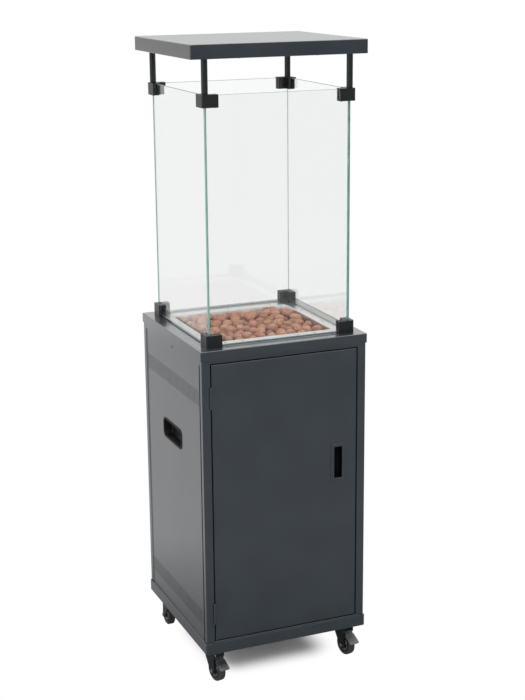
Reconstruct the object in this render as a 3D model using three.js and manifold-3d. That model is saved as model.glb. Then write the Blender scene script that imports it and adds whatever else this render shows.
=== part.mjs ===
// A free-standing gas patio heater: a square sheet-steel cabinet on four casters with a front
// door, a stainless burner tray of lava stones in its lid, a clear glass flame chamber held by
// corner clamps, and a flat steel canopy on four short posts.
// Units are millimetres and +Z is up. The floor is z = 0, the door faces -Y, and the origin is
// the middle of the footprint.

import * as THREE from 'three';
import { mergeVertices } from 'three/addons/utils/BufferGeometryUtils.js';
import { ConvexGeometry } from 'three/addons/geometries/ConvexGeometry.js';
import Module from 'manifold-3d';

// Sheet metal and clearances shared by the whole heater
const SHEET = 1.5;
const SEAT_GAP = 0.3;
const RUNNING_GAP = 0.3;
const CUT_OVERRUN = 4;

// Cabinet
const BODY_WIDTH = 396;
const BODY_DEPTH = 396;
const CABINET_HEIGHT = 718;
const RIM_OVERSAIL = 2.5;
const PLINTH_HEIGHT = 28;
const LID_SKIRT = 21.5;
const TOP_RAIL_HEIGHT = 29.75;
const BOTTOM_RAIL_HEIGHT = 30.75;
const FRONT_STILE_WIDTH = 19.75;
const FRONT_RETURN = 12;
const BACK_RETURN = 14;
const JAMB_DEPTH = 22;
const PANEL_LAP = 6;

// Ventilation slots and handle holes of the side panels
const VENT_HEIGHT = 36;
const VENT_SLOT_WIDTH = 1.8;
const VENT_SLOT_PITCH = 8;
const VENT_END_MARGIN = 6;
const UPPER_VENT_DROP = 112;
const LOWER_VENT_RISE = 81;
const BACK_SLOT_WIDTH = 4;
const BACK_SLOT_PITCH = 22;
const BACK_VENT_MARGIN = 30;
const HANDLE_LENGTH = 122;
const HANDLE_HEIGHT = 44;
const HANDLE_CORNER = 12;
const HANDLE_DROP = 246;
const HANDLE_SETBACK = 10;
const HANDLE_CUP_DEPTH = 22;
const HANDLE_CUP_WALL = 2;
const HANDLE_LIP = 2.5;
const HANDLE_LIP_THICKNESS = 1;

// Door, pull, hinges and catch
const DOOR_GAP = 2.5;
const DOOR_DEPTH = 18;
const PULL_PLATE_WIDTH = 31.5;
const PULL_PLATE_HEIGHT = 91;
const PULL_PLATE_THICKNESS = 1.2;
const PULL_PLATE_EDGE = 32.25;
const PULL_PLATE_DROP = 297.5;
const PULL_SLOT_WIDTH = 19.5;
const PULL_SLOT_HEIGHT = 75;
const PULL_SLOT_EDGE = 4;
const PULL_CUP_DEPTH = 15;
const PULL_CUP_WALL = 1.5;
const BARREL_RADIUS = 3;
const BARREL_LENGTH = 50;
const BARREL_PROUD = 1.5;
const HINGE_PIN_RADIUS = 1.5;
const HINGE_PIN_REACH = 18;
const UPPER_HINGE_DROP = 107;
const LOWER_HINGE_RISE = 100;
const CATCH_HEIGHT = 40;
const CATCH_WIDTH = 16;
const CATCH_DEPTH = 14;
const CATCH_RISE = 350;

// Screws that show
const SCREW_HEAD_RADIUS = 2.6;
const SCREW_HEAD_HEIGHT = 1.2;
const SCREW_SHANK_RADIUS = 1.5;
const SCREW_SHANK_LENGTH = 4;
const PANEL_SCREW_DROP = 36;

// Burner tray, stone grate and lava stones
const TRAY_SHEET = 1.2;
const TRAY_OPENING_WIDTH = 285;
const TRAY_OPENING_DEPTH = 265;
const TRAY_FLANGE_WIDTH = 327;
const TRAY_SLOPE_INSET = 8;
const TRAY_LEDGE = 8;
const TRAY_LEDGE_DROP = 40;
const TRAY_DROP = 70;
const LID_OPENING_MARGIN = 5.5;
const GRATE_SHEET = 1.5;
const GRATE_EDGE_GAP = 1;
const GRATE_SLOT_WIDTH = 5;
const GRATE_SLOT_PITCH = 26;
const GRATE_SLOT_MARGIN = 22;
const STONES_ACROSS = 7;
const STONES_DEEP = 6;
const STONE_HEIGHT = 31;
const STONE_HEIGHT_SPREAD = 8;
const STONE_SIZE_SPREAD_SHARE = 0.1;
const STONE_OVERLAP = 3;
const STONE_ROUGH_SHARE = 0.09;
const STONE_SEED = 7;

// Burner, pilot and gas feed
const BURNER_RING_RADIUS = 70;
const BURNER_TUBE_RADIUS = 7;
const BURNER_RISE = 15;
const BURNER_COLLAR_RADIUS = 16;
const BURNER_COLLAR_HEIGHT = 2;
const MIXER_RADIUS = 9;
const MIXER_LENGTH = 42;
const MIXER_PORT_WIDTH = 6;
const MIXER_PORT_HEIGHT = 14;
const INJECTOR_SIZE = 18;
const INJECTOR_REACH = 16;
const FITTING_RADIUS = 6.5;
const PILOT_OFFSET = 93;
const PILOT_BASE_WIDTH = 16;
const PILOT_BASE_DEPTH = 34;
const PILOT_BASE_HEIGHT = 2;
const PILOT_SPACING = 11;
const PILOT_RADIUS = 3.5;
const PILOT_HEIGHT = 20;
const PROBE_RADIUS = 1.8;
const GAS_PIPE_RADIUS = 4;
const GAS_PIPE_EASE = 36;

// Control panel behind the door
const CONTROL_SETBACK = 58;
const CONTROL_DROP = 56;
const CONTROL_HEIGHT = 86;
const CONTROL_RETURN = 14;
const CONTROL_SPACING = 100;
const VALVE_WIDTH = 36;
const VALVE_HEIGHT = 32;
const VALVE_DEPTH = 33;
const VALVE_BUSH_RADIUS = 7;
const VALVE_BUSH_REACH = 3;
const VALVE_NUT_LENGTH = 10;
const INLET_RADIUS = 5;
const INLET_LENGTH = 22;
const INLET_BARB = 1;
const INLET_BARBS = 3;
const SPINDLE_RADIUS = 3;
const SPINDLE_REACH = 14;
const KNOB_RADIUS = 17;
const KNOB_SKIRT = 4;
const KNOB_GRIP_RADIUS = 13.5;
const KNOB_HEIGHT = 20;
const KNOB_POINTER_WIDTH = 4;
const KNOB_POINTER_RISE = 2;
const IGNITER_RADIUS = 9;
const IGNITER_LENGTH = 36;
const IGNITER_BEZEL_RADIUS = 12;
const IGNITER_BEZEL = 3;
const BUTTON_RADIUS = 6;
const BUTTON_PROUD = 7;
const BUTTON_LENGTH = 20;
const BUTTON_TRAVEL = 5;

// Glass flame chamber and corner clamps
const GLASS_WIDTH = 339;
const GLASS_THICKNESS = 5;
const GLASS_HEIGHT = 541;
const GLASS_CLEARANCE = 0.3;
const CLAMP_OUTER_WALL = 8;
const CLAMP_INNER_WALL = 5;
const CLAMP_LEG = 37;
const CLAMP_HEIGHT = 27.5;
const CLAMP_FLOOR = 1.2;
const CLAMP_ROOF = 1.5;
const CLAMP_CORNER = 3;

// Posts and canopy
const POST_INSET = 10;
const POST_RADIUS = 7;
const POST_BORE_RADIUS = 3.5;
const POST_BORE_END = 2;
const POST_HEIGHT = 72.5;
const STUD_RADIUS = 3;
const STUD_HEIGHT = 10;
const CANOPY_WIDTH = 408;
const CANOPY_DEPTH = 369;
const CANOPY_HEIGHT = 31;
const HEAT_PLATE_FLANGE = 15;

// Casters
const CASTER_HEIGHT = 84;
const CASTER_SIDE_INSET = 34.5;
const CASTER_END_INSET = 54.5;
const CASTER_TRAIL = 18;
const FRONT_SWIVEL_DEGREES = 12;
const CASTER_PLATE_SIZE = 42;
const CASTER_PLATE = 2.5;
const RACE_RADIUS = 19;
const RACE_HEIGHT = 6;
const CROWN_RADIUS = 17;
const CROWN_HEIGHT = 6;
const FORK_SHEET = 2.5;
const FORK_BACK = 15;
const FORK_FRONT = 29;
const FORK_SHOULDER = 8;
const FORK_EYE_RADIUS = 9;
const WHEEL_RADIUS = 26;
const WHEEL_WIDTH = 18;
const WHEEL_SIDE_GAP = 2;
const TREAD_ROUND = 3.5;
const AXLE_RADIUS = 3;
const AXLE_HEAD_RADIUS = 5.2;
const AXLE_HEAD = 3.5;
const PEDAL_PIVOT_FORWARD = 25.5;
const PEDAL_PIVOT_DROP = 24;
const PEDAL_BARREL_RADIUS = 3;
const PEDAL_PIN_RADIUS = 1.8;
const PEDAL_ROOT_WIDTH = 22;
const PEDAL_TIP_WIDTH = 26;
const PEDAL_ROOT_LENGTH = 8;
const PEDAL_LENGTH = 13;
const PEDAL_THICKNESS = 2;
const PEDAL_SLOPE_DEGREES = 46;
const PEDAL_TOE_LENGTH = 23;
const PEDAL_TOE_DEGREES = 13;

// Facets of round shapes
const FINE_SIDES = 24;
const ROUND_SIDES = 16;
const SMALL_SIDES = 10;
const HEX_SIDES = 6;
const CORNER_STEPS = 4;

// Levels and half sizes that follow from the sizes above
const BODY_X = BODY_WIDTH / 2;
const BODY_Y = BODY_DEPTH / 2;
const RIM_X = BODY_X + RIM_OVERSAIL;
const RIM_Y = BODY_Y + RIM_OVERSAIL;
const BASE_Z = CASTER_HEIGHT;
const PLINTH_TOP = BASE_Z + PLINTH_HEIGHT;
const LID_TOP = BASE_Z + CABINET_HEIGHT;
const PANEL_BOTTOM = BASE_Z + SHEET + SEAT_GAP;
const PANEL_TOP = LID_TOP - SHEET - SEAT_GAP;
const DOORWAY_X = BODY_X - FRONT_STILE_WIDTH;
const DOORWAY_BOTTOM = BASE_Z + BOTTOM_RAIL_HEIGHT;
const DOORWAY_TOP = LID_TOP - TOP_RAIL_HEIGHT;
const PANEL_FACE_X = BODY_X - SHEET - SEAT_GAP;
const PANEL_INNER_X = PANEL_FACE_X - SHEET;
const PANEL_BAND_Z = DOORWAY_TOP - SHEET;
const UPPER_VENT_Z = LID_TOP - UPPER_VENT_DROP;
const LOWER_VENT_Z = BASE_Z + LOWER_VENT_RISE;
const HANDLE_Z = LID_TOP - HANDLE_DROP;
const DOOR_X = DOORWAY_X - DOOR_GAP;
const DOOR_BOTTOM = DOORWAY_BOTTOM + DOOR_GAP;
const DOOR_TOP = DOORWAY_TOP - DOOR_GAP;
const DOOR_BACK_Y = -BODY_Y + DOOR_DEPTH;
const HINGE_X = -DOORWAY_X;
const HINGE_Y = -BODY_Y - BARREL_PROUD;
const HINGE_HEIGHTS = [LOWER_HINGE_RISE + BASE_Z, LID_TOP - UPPER_HINGE_DROP];
const TRAY_X = TRAY_OPENING_WIDTH / 2;
const TRAY_Y = TRAY_OPENING_DEPTH / 2;
const TRAY_RIM_Z = LID_TOP + SEAT_GAP;
const TRAY_RIM_TOP = TRAY_RIM_Z + TRAY_SHEET;
const TRAY_LEDGE_Z = LID_TOP - TRAY_LEDGE_DROP;
const TRAY_FLOOR_Z = LID_TOP - TRAY_DROP;
const GRATE_Z = TRAY_LEDGE_Z + SEAT_GAP;
const STONE_BED_Z = GRATE_Z + GRATE_SHEET + SEAT_GAP;
const BURNER_Z = TRAY_FLOOR_Z + TRAY_SHEET + SEAT_GAP + BURNER_RISE;
const MIXER_BOTTOM = TRAY_FLOOR_Z - MIXER_LENGTH;
const INJECTOR_Z = MIXER_BOTTOM - INJECTOR_SIZE / 2;
const CONTROL_Y = -BODY_Y + CONTROL_SETBACK;
const CONTROL_BACK_Y = CONTROL_Y + SHEET;
const CONTROL_TOP = LID_TOP - CONTROL_DROP;
const CONTROL_Z = CONTROL_TOP - CONTROL_HEIGHT / 2;
const KNOB_X = -CONTROL_SPACING / 2;
const BUTTON_X = CONTROL_SPACING / 2;
const GLASS_X = GLASS_WIDTH / 2;
const CLAMP_X = GLASS_X + GLASS_CLEARANCE + CLAMP_OUTER_WALL;
const CLAMP_THICKNESS = CLAMP_OUTER_WALL + GLASS_THICKNESS + 2 * GLASS_CLEARANCE + CLAMP_INNER_WALL;
const CLAMP_REBATE = TRAY_SHEET + SEAT_GAP;
const LOWER_CLAMP_Z = LID_TOP + SEAT_GAP;
const GLASS_BOTTOM = LOWER_CLAMP_Z + CLAMP_REBATE + CLAMP_FLOOR + GLASS_CLEARANCE;
const GLASS_TOP = GLASS_BOTTOM + GLASS_HEIGHT;
const UPPER_CLAMP_TOP = GLASS_TOP + GLASS_CLEARANCE + CLAMP_ROOF;
const UPPER_CLAMP_Z = UPPER_CLAMP_TOP - CLAMP_HEIGHT;
const POST_X = CLAMP_X - POST_INSET;
const POST_BOTTOM = UPPER_CLAMP_TOP + SEAT_GAP;
const POST_TOP = POST_BOTTOM + POST_HEIGHT;
const CANOPY_X = CANOPY_WIDTH / 2;
const CANOPY_Y = CANOPY_DEPTH / 2;
const CANOPY_BOTTOM = POST_TOP + SEAT_GAP;
const CANOPY_TOP = CANOPY_BOTTOM + CANOPY_HEIGHT;
const CASTER_X = RIM_X - CASTER_SIDE_INSET;
const CASTER_Y = RIM_Y - CASTER_END_INSET;
const CASTER_PLATE_TOP = BASE_Z - SEAT_GAP;
const RACE_TOP = CASTER_PLATE_TOP - CASTER_PLATE;
const CROWN_TOP = RACE_TOP - RACE_HEIGHT - RUNNING_GAP;
const CROWN_BOTTOM = CROWN_TOP - CROWN_HEIGHT;
const FORK_INNER_X = WHEEL_WIDTH / 2 + WHEEL_SIDE_GAP;
const FORK_OUTER_X = FORK_INNER_X + FORK_SHEET;
const PEDAL_PIVOT_Z = BASE_Z - PEDAL_PIVOT_DROP;

const wasm = await Module();
wasm.setup();

// Turns a closed three.js geometry into a solid that can be joined and cut.
function toSolid(geometry) {
  const bare = geometry.clone();
  bare.deleteAttribute('normal');
  bare.deleteAttribute('uv');
  const merged = mergeVertices(bare);
  return new wasm.Manifold(new wasm.Mesh({
    numProp: 3,
    vertProperties: new Float32Array(merged.attributes.position.array),
    triVerts: new Uint32Array(merged.index.array),
  }));
}

function toGeometry(solid) {
  const { numProp, vertProperties, triVerts } = solid.getMesh();
  const positions = [];
  for (let i = 0; i < vertProperties.length; i += numProp) {
    positions.push(...vertProperties.subarray(i, i + 3));
  }
  const geometry = new THREE.BufferGeometry();
  geometry.setAttribute('position', new THREE.Float32BufferAttribute(positions, 3));
  geometry.setIndex(new THREE.BufferAttribute(new Uint32Array(triVerts), 1));
  geometry.computeVertexNormals();
  return geometry;
}

function join(...solids) {
  return solids.flat().reduce((whole, solid) => whole.add(solid));
}

function cut(solid, ...tools) {
  return tools.flat().reduce((rest, tool) => rest.subtract(tool), solid);
}

function moved(solid, matrix) {
  return toSolid(toGeometry(solid).applyMatrix4(matrix));
}

// A rectangular block given by its range on each axis.
function slab([x0, x1], [y0, y1], [z0, z1]) {
  const box = new THREE.BoxGeometry(x1 - x0, y1 - y0, z1 - z0);
  return toSolid(box.translate((x0 + x1) / 2, (y0 + y1) / 2, (z0 + z1) / 2));
}

// A flat outline pushed along one axis. Outlines are (x, y) along z, (y, z) along x and
// (x, z) along y.
function prism(shape, axis, [from, to]) {
  const geometry = new THREE.ExtrudeGeometry(shape, {
    depth: to - from,
    bevelEnabled: false,
    curveSegments: CORNER_STEPS,
  });
  const across = new THREE.Vector3(1, 0, 0);
  const back = new THREE.Vector3(0, 1, 0);
  const up = new THREE.Vector3(0, 0, 1);
  const place = new THREE.Matrix4();
  if (axis === 'x') place.makeBasis(back, up, across).setPosition(from, 0, 0);
  if (axis === 'y') place.makeBasis(across, up, back.negate()).setPosition(0, to, 0);
  if (axis === 'z') place.setPosition(0, 0, from);
  return toSolid(geometry.applyMatrix4(place));
}

function polygon(points) {
  return new THREE.Shape(points.map(([u, v]) => new THREE.Vector2(u, v)));
}

function roundedRectangle([u0, u1], [v0, v1], radius) {
  const shape = new THREE.Shape();
  shape.absarc(u1 - radius, v0 + radius, radius, -Math.PI / 2, 0);
  shape.absarc(u1 - radius, v1 - radius, radius, 0, Math.PI / 2);
  shape.absarc(u0 + radius, v1 - radius, radius, Math.PI / 2, Math.PI);
  shape.absarc(u0 + radius, v0 + radius, radius, Math.PI, 1.5 * Math.PI);
  shape.closePath();
  return shape;
}

// A round bar between two points.
function rod(radius, from, to, sides = ROUND_SIDES) {
  const start = new THREE.Vector3(...from);
  const end = new THREE.Vector3(...to);
  const along = end.clone().sub(start);
  const bar = new THREE.CylinderGeometry(radius, radius, along.length(), sides);
  bar.applyQuaternion(new THREE.Quaternion().setFromUnitVectors(
    new THREE.Vector3(0, 1, 0),
    along.normalize(),
  ));
  return toSolid(bar.translate(...start.add(end).divideScalar(2)));
}

// A closed (radius, height) profile turned about Z, listed upwards on its outer side.
function turned(profile, sides = ROUND_SIDES) {
  const points = profile.map(([radius, height]) => new THREE.Vector2(radius, height));
  return toSolid(new THREE.LatheGeometry(points, sides).rotateX(Math.PI / 2));
}

function centred(half) {
  return [-half, half];
}

// The same range on the left or the right of the middle plane, for side -1 or +1.
function onSide(side, near, far) {
  return side > 0 ? [near, far] : [-far, -near];
}

const FINISHES = {
  anthracite: { color: 0x3c4349, roughness: 0.42, metalness: 0.25 },
  black_paint: { color: 0x1c1e20, roughness: 0.4, metalness: 0.3 },
  black_plastic: { color: 0x111213, roughness: 0.6, metalness: 0 },
  stainless: { color: 0xc9c8c3, roughness: 0.28, metalness: 1 },
  zinc: { color: 0x8d9094, roughness: 0.38, metalness: 0.9 },
  brass: { color: 0xb08d4c, roughness: 0.35, metalness: 1 },
  clear_glass: { color: 0xdcebe6, roughness: 0.03, metalness: 0, transparent: true, opacity: 0.2 },
  lava: { color: 0xb57a64, roughness: 0.95, metalness: 0 },
  tyre: { color: 0x161616, roughness: 0.75, metalness: 0 },
};

const heater = new THREE.Group();

function addPiece(name, solid, finish, parent = heater) {
  const material = new THREE.MeshStandardMaterial(FINISHES[finish]);
  const piece = new THREE.Mesh(toGeometry(solid), material);
  piece.name = name;
  parent.add(piece);
  return piece;
}

// The base: a shallow folded pan whose upturned walls are the plinth.
function basePan() {
  return cut(
    slab(centred(RIM_X), centred(RIM_Y), [BASE_Z, PLINTH_TOP]),
    slab(centred(RIM_X - SHEET), centred(RIM_Y - SHEET), [BASE_Z + SHEET, PLINTH_TOP + CUT_OVERRUN]),
  );
}

// A row of upright slots through a panel that faces along the given axis.
function ventSlots(axis, wall, [from, to], middleZ, slotWidth, pitch) {
  const count = Math.floor((to - from - slotWidth) / pitch) + 1;
  const start = (from + to - (count - 1) * pitch) / 2;
  const through = [wall[0] - CUT_OVERRUN, wall[1] + CUT_OVERRUN];
  const tall = [middleZ - VENT_HEIGHT / 2, middleZ + VENT_HEIGHT / 2];
  return Array.from({ length: count }, (_, i) => {
    const middle = start + i * pitch;
    const wide = [middle - slotWidth / 2, middle + slotWidth / 2];
    return axis === 'x' ? slab(through, wide, tall) : slab(wide, through, tall);
  });
}

// A side panel: its field lies one sheet behind the corner returns, and its top band steps out
// flush with them. Two bands of fine slots let air through.
function sidePanel(side) {
  const front = -BODY_Y + FRONT_RETURN;
  const back = BODY_Y - BACK_RETURN;
  const wall = onSide(side, PANEL_INNER_X, PANEL_FACE_X);
  const field = slab(wall, [front - PANEL_LAP, back + PANEL_LAP], [PANEL_BOTTOM, PANEL_BAND_Z]);
  const bandEnds = [front + SEAT_GAP, back - SEAT_GAP];
  const step = slab(
    onSide(side, PANEL_INNER_X, BODY_X),
    bandEnds,
    [PANEL_BAND_Z - SHEET, PANEL_BAND_Z],
  );
  const band = slab(
    onSide(side, BODY_X - SHEET, BODY_X),
    bandEnds,
    [PANEL_BAND_Z - SHEET, PANEL_TOP],
  );
  const ventSpan = [front + VENT_END_MARGIN, back - VENT_END_MARGIN];
  const slots = [UPPER_VENT_Z, LOWER_VENT_Z].flatMap((middleZ) => (
    ventSlots('x', wall, ventSpan, middleZ, VENT_SLOT_WIDTH, VENT_SLOT_PITCH)
  ));
  const handleHole = prism(
    handleOutline(0),
    'x',
    [wall[0] - CUT_OVERRUN, wall[1] + CUT_OVERRUN],
  );
  const screwHole = rod(
    SCREW_SHANK_RADIUS + RUNNING_GAP,
    [wall[0] - CUT_OVERRUN, 0, LID_TOP - PANEL_SCREW_DROP],
    [wall[1] + CUT_OVERRUN, 0, LID_TOP - PANEL_SCREW_DROP],
    SMALL_SIDES,
  );
  return cut(join(field, step, band), slots, handleHole, screwHole);
}

// The handle hole's outline in (y, z), grown outwards by a margin.
function handleOutline(margin) {
  return roundedRectangle(
    [HANDLE_SETBACK - HANDLE_LENGTH / 2 - margin, HANDLE_SETBACK + HANDLE_LENGTH / 2 + margin],
    [HANDLE_Z - HANDLE_HEIGHT / 2 - margin, HANDLE_Z + HANDLE_HEIGHT / 2 + margin],
    HANDLE_CORNER + margin,
  );
}

// A moulded finger pocket behind each handle hole, with a thin lip round the hole.
function handleCup(side) {
  const outerFace = PANEL_FACE_X + SEAT_GAP + HANDLE_LIP_THICKNESS;
  const deepFace = PANEL_FACE_X - HANDLE_CUP_DEPTH;
  const lip = prism(
    handleOutline(HANDLE_LIP),
    'x',
    onSide(side, PANEL_FACE_X + SEAT_GAP, outerFace),
  );
  const pocket = prism(handleOutline(-SEAT_GAP), 'x', onSide(side, deepFace, outerFace));
  const hollow = prism(
    handleOutline(-SEAT_GAP - HANDLE_CUP_WALL),
    'x',
    onSide(side, deepFace + HANDLE_CUP_WALL, outerFace + CUT_OVERRUN),
  );
  return cut(join(lip, pocket), hollow);
}

// The back panel: one sheet with a return round each rear corner and two rows of slots.
function backPanel() {
  const wall = [BODY_Y - SHEET, BODY_Y];
  const height = [PANEL_BOTTOM, PANEL_TOP];
  const sheet = slab(centred(BODY_X), wall, height);
  const returns = [-1, 1].map((side) => (
    slab(onSide(side, BODY_X - SHEET, BODY_X), [BODY_Y - BACK_RETURN, BODY_Y], height)
  ));
  const ventSpan = [-BODY_X + BACK_VENT_MARGIN, BODY_X - BACK_VENT_MARGIN];
  const slots = [UPPER_VENT_Z, LOWER_VENT_Z].flatMap((middleZ) => (
    ventSlots('y', wall, ventSpan, middleZ, BACK_SLOT_WIDTH, BACK_SLOT_PITCH)
  ));
  return cut(join(sheet, returns), slots);
}

// The front frame: stiles and rails round the doorway, returned at the corners and the jambs,
// and notched where the hinge barrels stand.
function frontFrame() {
  const height = [PANEL_BOTTOM, PANEL_TOP];
  const doorway = [DOORWAY_BOTTOM, DOORWAY_TOP];
  const face = slab(centred(BODY_X), [-BODY_Y, -BODY_Y + SHEET], height);
  const returns = [-1, 1].map((side) => (
    slab(onSide(side, BODY_X - SHEET, BODY_X), [-BODY_Y, -BODY_Y + FRONT_RETURN], height)
  ));
  const jambs = slab(
    centred(DOORWAY_X + SHEET),
    [-BODY_Y, -BODY_Y + JAMB_DEPTH],
    [doorway[0] - SHEET, doorway[1] + SHEET],
  );
  const opening = slab(
    centred(DOORWAY_X),
    [-BODY_Y - CUT_OVERRUN, -BODY_Y + JAMB_DEPTH + CUT_OVERRUN],
    doorway,
  );
  return cut(join(face, returns, jambs), opening, hingeNotches());
}

function hingeNotches() {
  const reach = BARREL_RADIUS + SEAT_GAP;
  return HINGE_HEIGHTS.map((z) => slab(
    [HINGE_X - reach, HINGE_X + reach],
    [-BODY_Y - CUT_OVERRUN, HINGE_Y + reach],
    [z - BARREL_LENGTH / 2 - SEAT_GAP, z + BARREL_LENGTH / 2 + SEAT_GAP],
  ));
}

// The lower half of a hinge stands in the frame and carries the pin.
function hingeFrameBarrel(z) {
  const at = (height) => [HINGE_X, HINGE_Y, z + height];
  return join(
    rod(BARREL_RADIUS, at(-BARREL_LENGTH / 2), at(-RUNNING_GAP / 2)),
    rod(HINGE_PIN_RADIUS, at(-HINGE_PIN_REACH), at(HINGE_PIN_REACH), SMALL_SIDES),
  );
}

// The upper half is fixed to the door and drops over the pin.
function hingeDoorBarrel(z) {
  const at = (height) => [HINGE_X, HINGE_Y, z + height];
  return cut(
    rod(BARREL_RADIUS, at(RUNNING_GAP / 2), at(BARREL_LENGTH / 2)),
    rod(HINGE_PIN_RADIUS + RUNNING_GAP, at(-RUNNING_GAP), at(HINGE_PIN_REACH + RUNNING_GAP), SMALL_SIDES),
  );
}

const PULL_PLATE_X = [
  DOOR_X - PULL_PLATE_EDGE - PULL_PLATE_WIDTH,
  DOOR_X - PULL_PLATE_EDGE,
];
const PULL_Z = LID_TOP - PULL_PLATE_DROP;
const PULL_SLOT_X = [
  PULL_PLATE_X[1] - PULL_SLOT_EDGE - PULL_SLOT_WIDTH,
  PULL_PLATE_X[1] - PULL_SLOT_EDGE,
];

// The pull's slot as ranges in x and z, grown outwards by a margin.
function pullSlot(margin) {
  return {
    x: [PULL_SLOT_X[0] - margin, PULL_SLOT_X[1] + margin],
    z: [PULL_Z - PULL_SLOT_HEIGHT / 2 - margin, PULL_Z + PULL_SLOT_HEIGHT / 2 + margin],
  };
}

// The door: a folded pan, open at the back, holed for its flush pull.
function doorPanel() {
  const pan = slab(centred(DOOR_X), [-BODY_Y, DOOR_BACK_Y], [DOOR_BOTTOM, DOOR_TOP]);
  const hollow = slab(
    centred(DOOR_X - SHEET),
    [-BODY_Y + SHEET, DOOR_BACK_Y + CUT_OVERRUN],
    [DOOR_BOTTOM + SHEET, DOOR_TOP - SHEET],
  );
  const hole = pullSlot(PULL_CUP_WALL + SEAT_GAP);
  const pullHole = slab(hole.x, [-BODY_Y - CUT_OVERRUN, -BODY_Y + SHEET + CUT_OVERRUN], hole.z);
  return cut(pan, hollow, pullHole, hingeNotches());
}

// The flush pull: a thin plate on the door's face with a finger cup behind its slot.
function doorPull() {
  const face = -BODY_Y - SEAT_GAP;
  const cupBack = -BODY_Y + PULL_CUP_DEPTH;
  const plate = slab(
    PULL_PLATE_X,
    [face - PULL_PLATE_THICKNESS, face],
    [PULL_Z - PULL_PLATE_HEIGHT / 2, PULL_Z + PULL_PLATE_HEIGHT / 2],
  );
  const outer = pullSlot(PULL_CUP_WALL);
  const inner = pullSlot(0);
  const cup = slab(outer.x, [face - PULL_PLATE_THICKNESS, cupBack], outer.z);
  const hollow = slab(
    inner.x,
    [face - PULL_PLATE_THICKNESS - CUT_OVERRUN, cupBack - PULL_CUP_WALL],
    inner.z,
  );
  return cut(join(plate, cup), hollow);
}

// A magnet block inside the right jamb that the door's edge closes against.
function magnetCatch() {
  const right = DOORWAY_X - SEAT_GAP;
  const middle = BASE_Z + CATCH_RISE;
  return slab(
    [right - CATCH_WIDTH, right],
    [DOOR_BACK_Y + SEAT_GAP, DOOR_BACK_Y + SEAT_GAP + CATCH_DEPTH],
    [middle - CATCH_HEIGHT / 2, middle + CATCH_HEIGHT / 2],
  );
}

// The lid: a downturned pan with the burner tray's opening in it.
function lid() {
  const openX = TRAY_X + LID_OPENING_MARGIN;
  const openY = TRAY_Y + LID_OPENING_MARGIN;
  return cut(
    slab(centred(RIM_X), centred(RIM_Y), [LID_TOP - LID_SKIRT, LID_TOP]),
    slab(
      centred(RIM_X - SHEET),
      centred(RIM_Y - SHEET),
      [LID_TOP - LID_SKIRT - CUT_OVERRUN, LID_TOP - SHEET],
    ),
    slab(centred(openX), centred(openY), [LID_TOP - LID_SKIRT, LID_TOP + CUT_OVERRUN]),
  );
}

// A four-sided block whose top and bottom have their own half sizes.
function taperedBlock(top, bottom, [z0, z1]) {
  const corners = [];
  for (const sx of [-1, 1]) {
    for (const sy of [-1, 1]) {
      corners.push(new THREE.Vector3(sx * bottom[0], sy * bottom[1], z0));
      corners.push(new THREE.Vector3(sx * top[0], sy * top[1], z1));
    }
  }
  return toSolid(new ConvexGeometry(corners));
}

// The burner tray: a flange on the lid, sloping walls down to a ledge for the grate, and a
// well below it for the burner.
function burnerTray() {
  const flangeHalf = TRAY_FLANGE_WIDTH / 2;
  const flange = slab(centred(flangeHalf), centred(flangeHalf), [TRAY_RIM_Z, TRAY_RIM_TOP]);
  const ledge = [TRAY_X - TRAY_SLOPE_INSET, TRAY_Y - TRAY_SLOPE_INSET];
  const well = [ledge[0] - TRAY_LEDGE, ledge[1] - TRAY_LEDGE];
  const grown = ([x, y]) => [x + TRAY_SHEET, y + TRAY_SHEET];
  const outside = join(
    flange,
    taperedBlock(grown([TRAY_X, TRAY_Y]), grown(ledge), [TRAY_LEDGE_Z - TRAY_SHEET, TRAY_RIM_TOP]),
    slab(centred(well[0] + TRAY_SHEET), centred(well[1] + TRAY_SHEET), [TRAY_FLOOR_Z, TRAY_LEDGE_Z]),
  );
  return cut(
    outside,
    taperedBlock([TRAY_X, TRAY_Y], ledge, [TRAY_LEDGE_Z, TRAY_RIM_TOP]),
    slab(centred(TRAY_X), centred(TRAY_Y), [TRAY_RIM_TOP - TRAY_SHEET / 2, TRAY_RIM_TOP + CUT_OVERRUN]),
    slab(centred(well[0]), centred(well[1]), [TRAY_FLOOR_Z + TRAY_SHEET, TRAY_LEDGE_Z + TRAY_SHEET]),
    rod(
      MIXER_RADIUS + SEAT_GAP,
      [0, 0, TRAY_FLOOR_Z - CUT_OVERRUN],
      [0, 0, TRAY_FLOOR_Z + TRAY_SHEET + CUT_OVERRUN],
    ),
  );
}

// The pan-head screw near the top of each side panel.
function panelScrew(side) {
  const at = (distance) => [side * (PANEL_FACE_X + distance), 0, LID_TOP - PANEL_SCREW_DROP];
  return join(
    rod(SCREW_HEAD_RADIUS, at(SEAT_GAP), at(SEAT_GAP + SCREW_HEAD_HEIGHT), SMALL_SIDES),
    rod(SCREW_SHANK_RADIUS, at(-SCREW_SHANK_LENGTH), at(SEAT_GAP * 2), SMALL_SIDES),
  );
}

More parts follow.
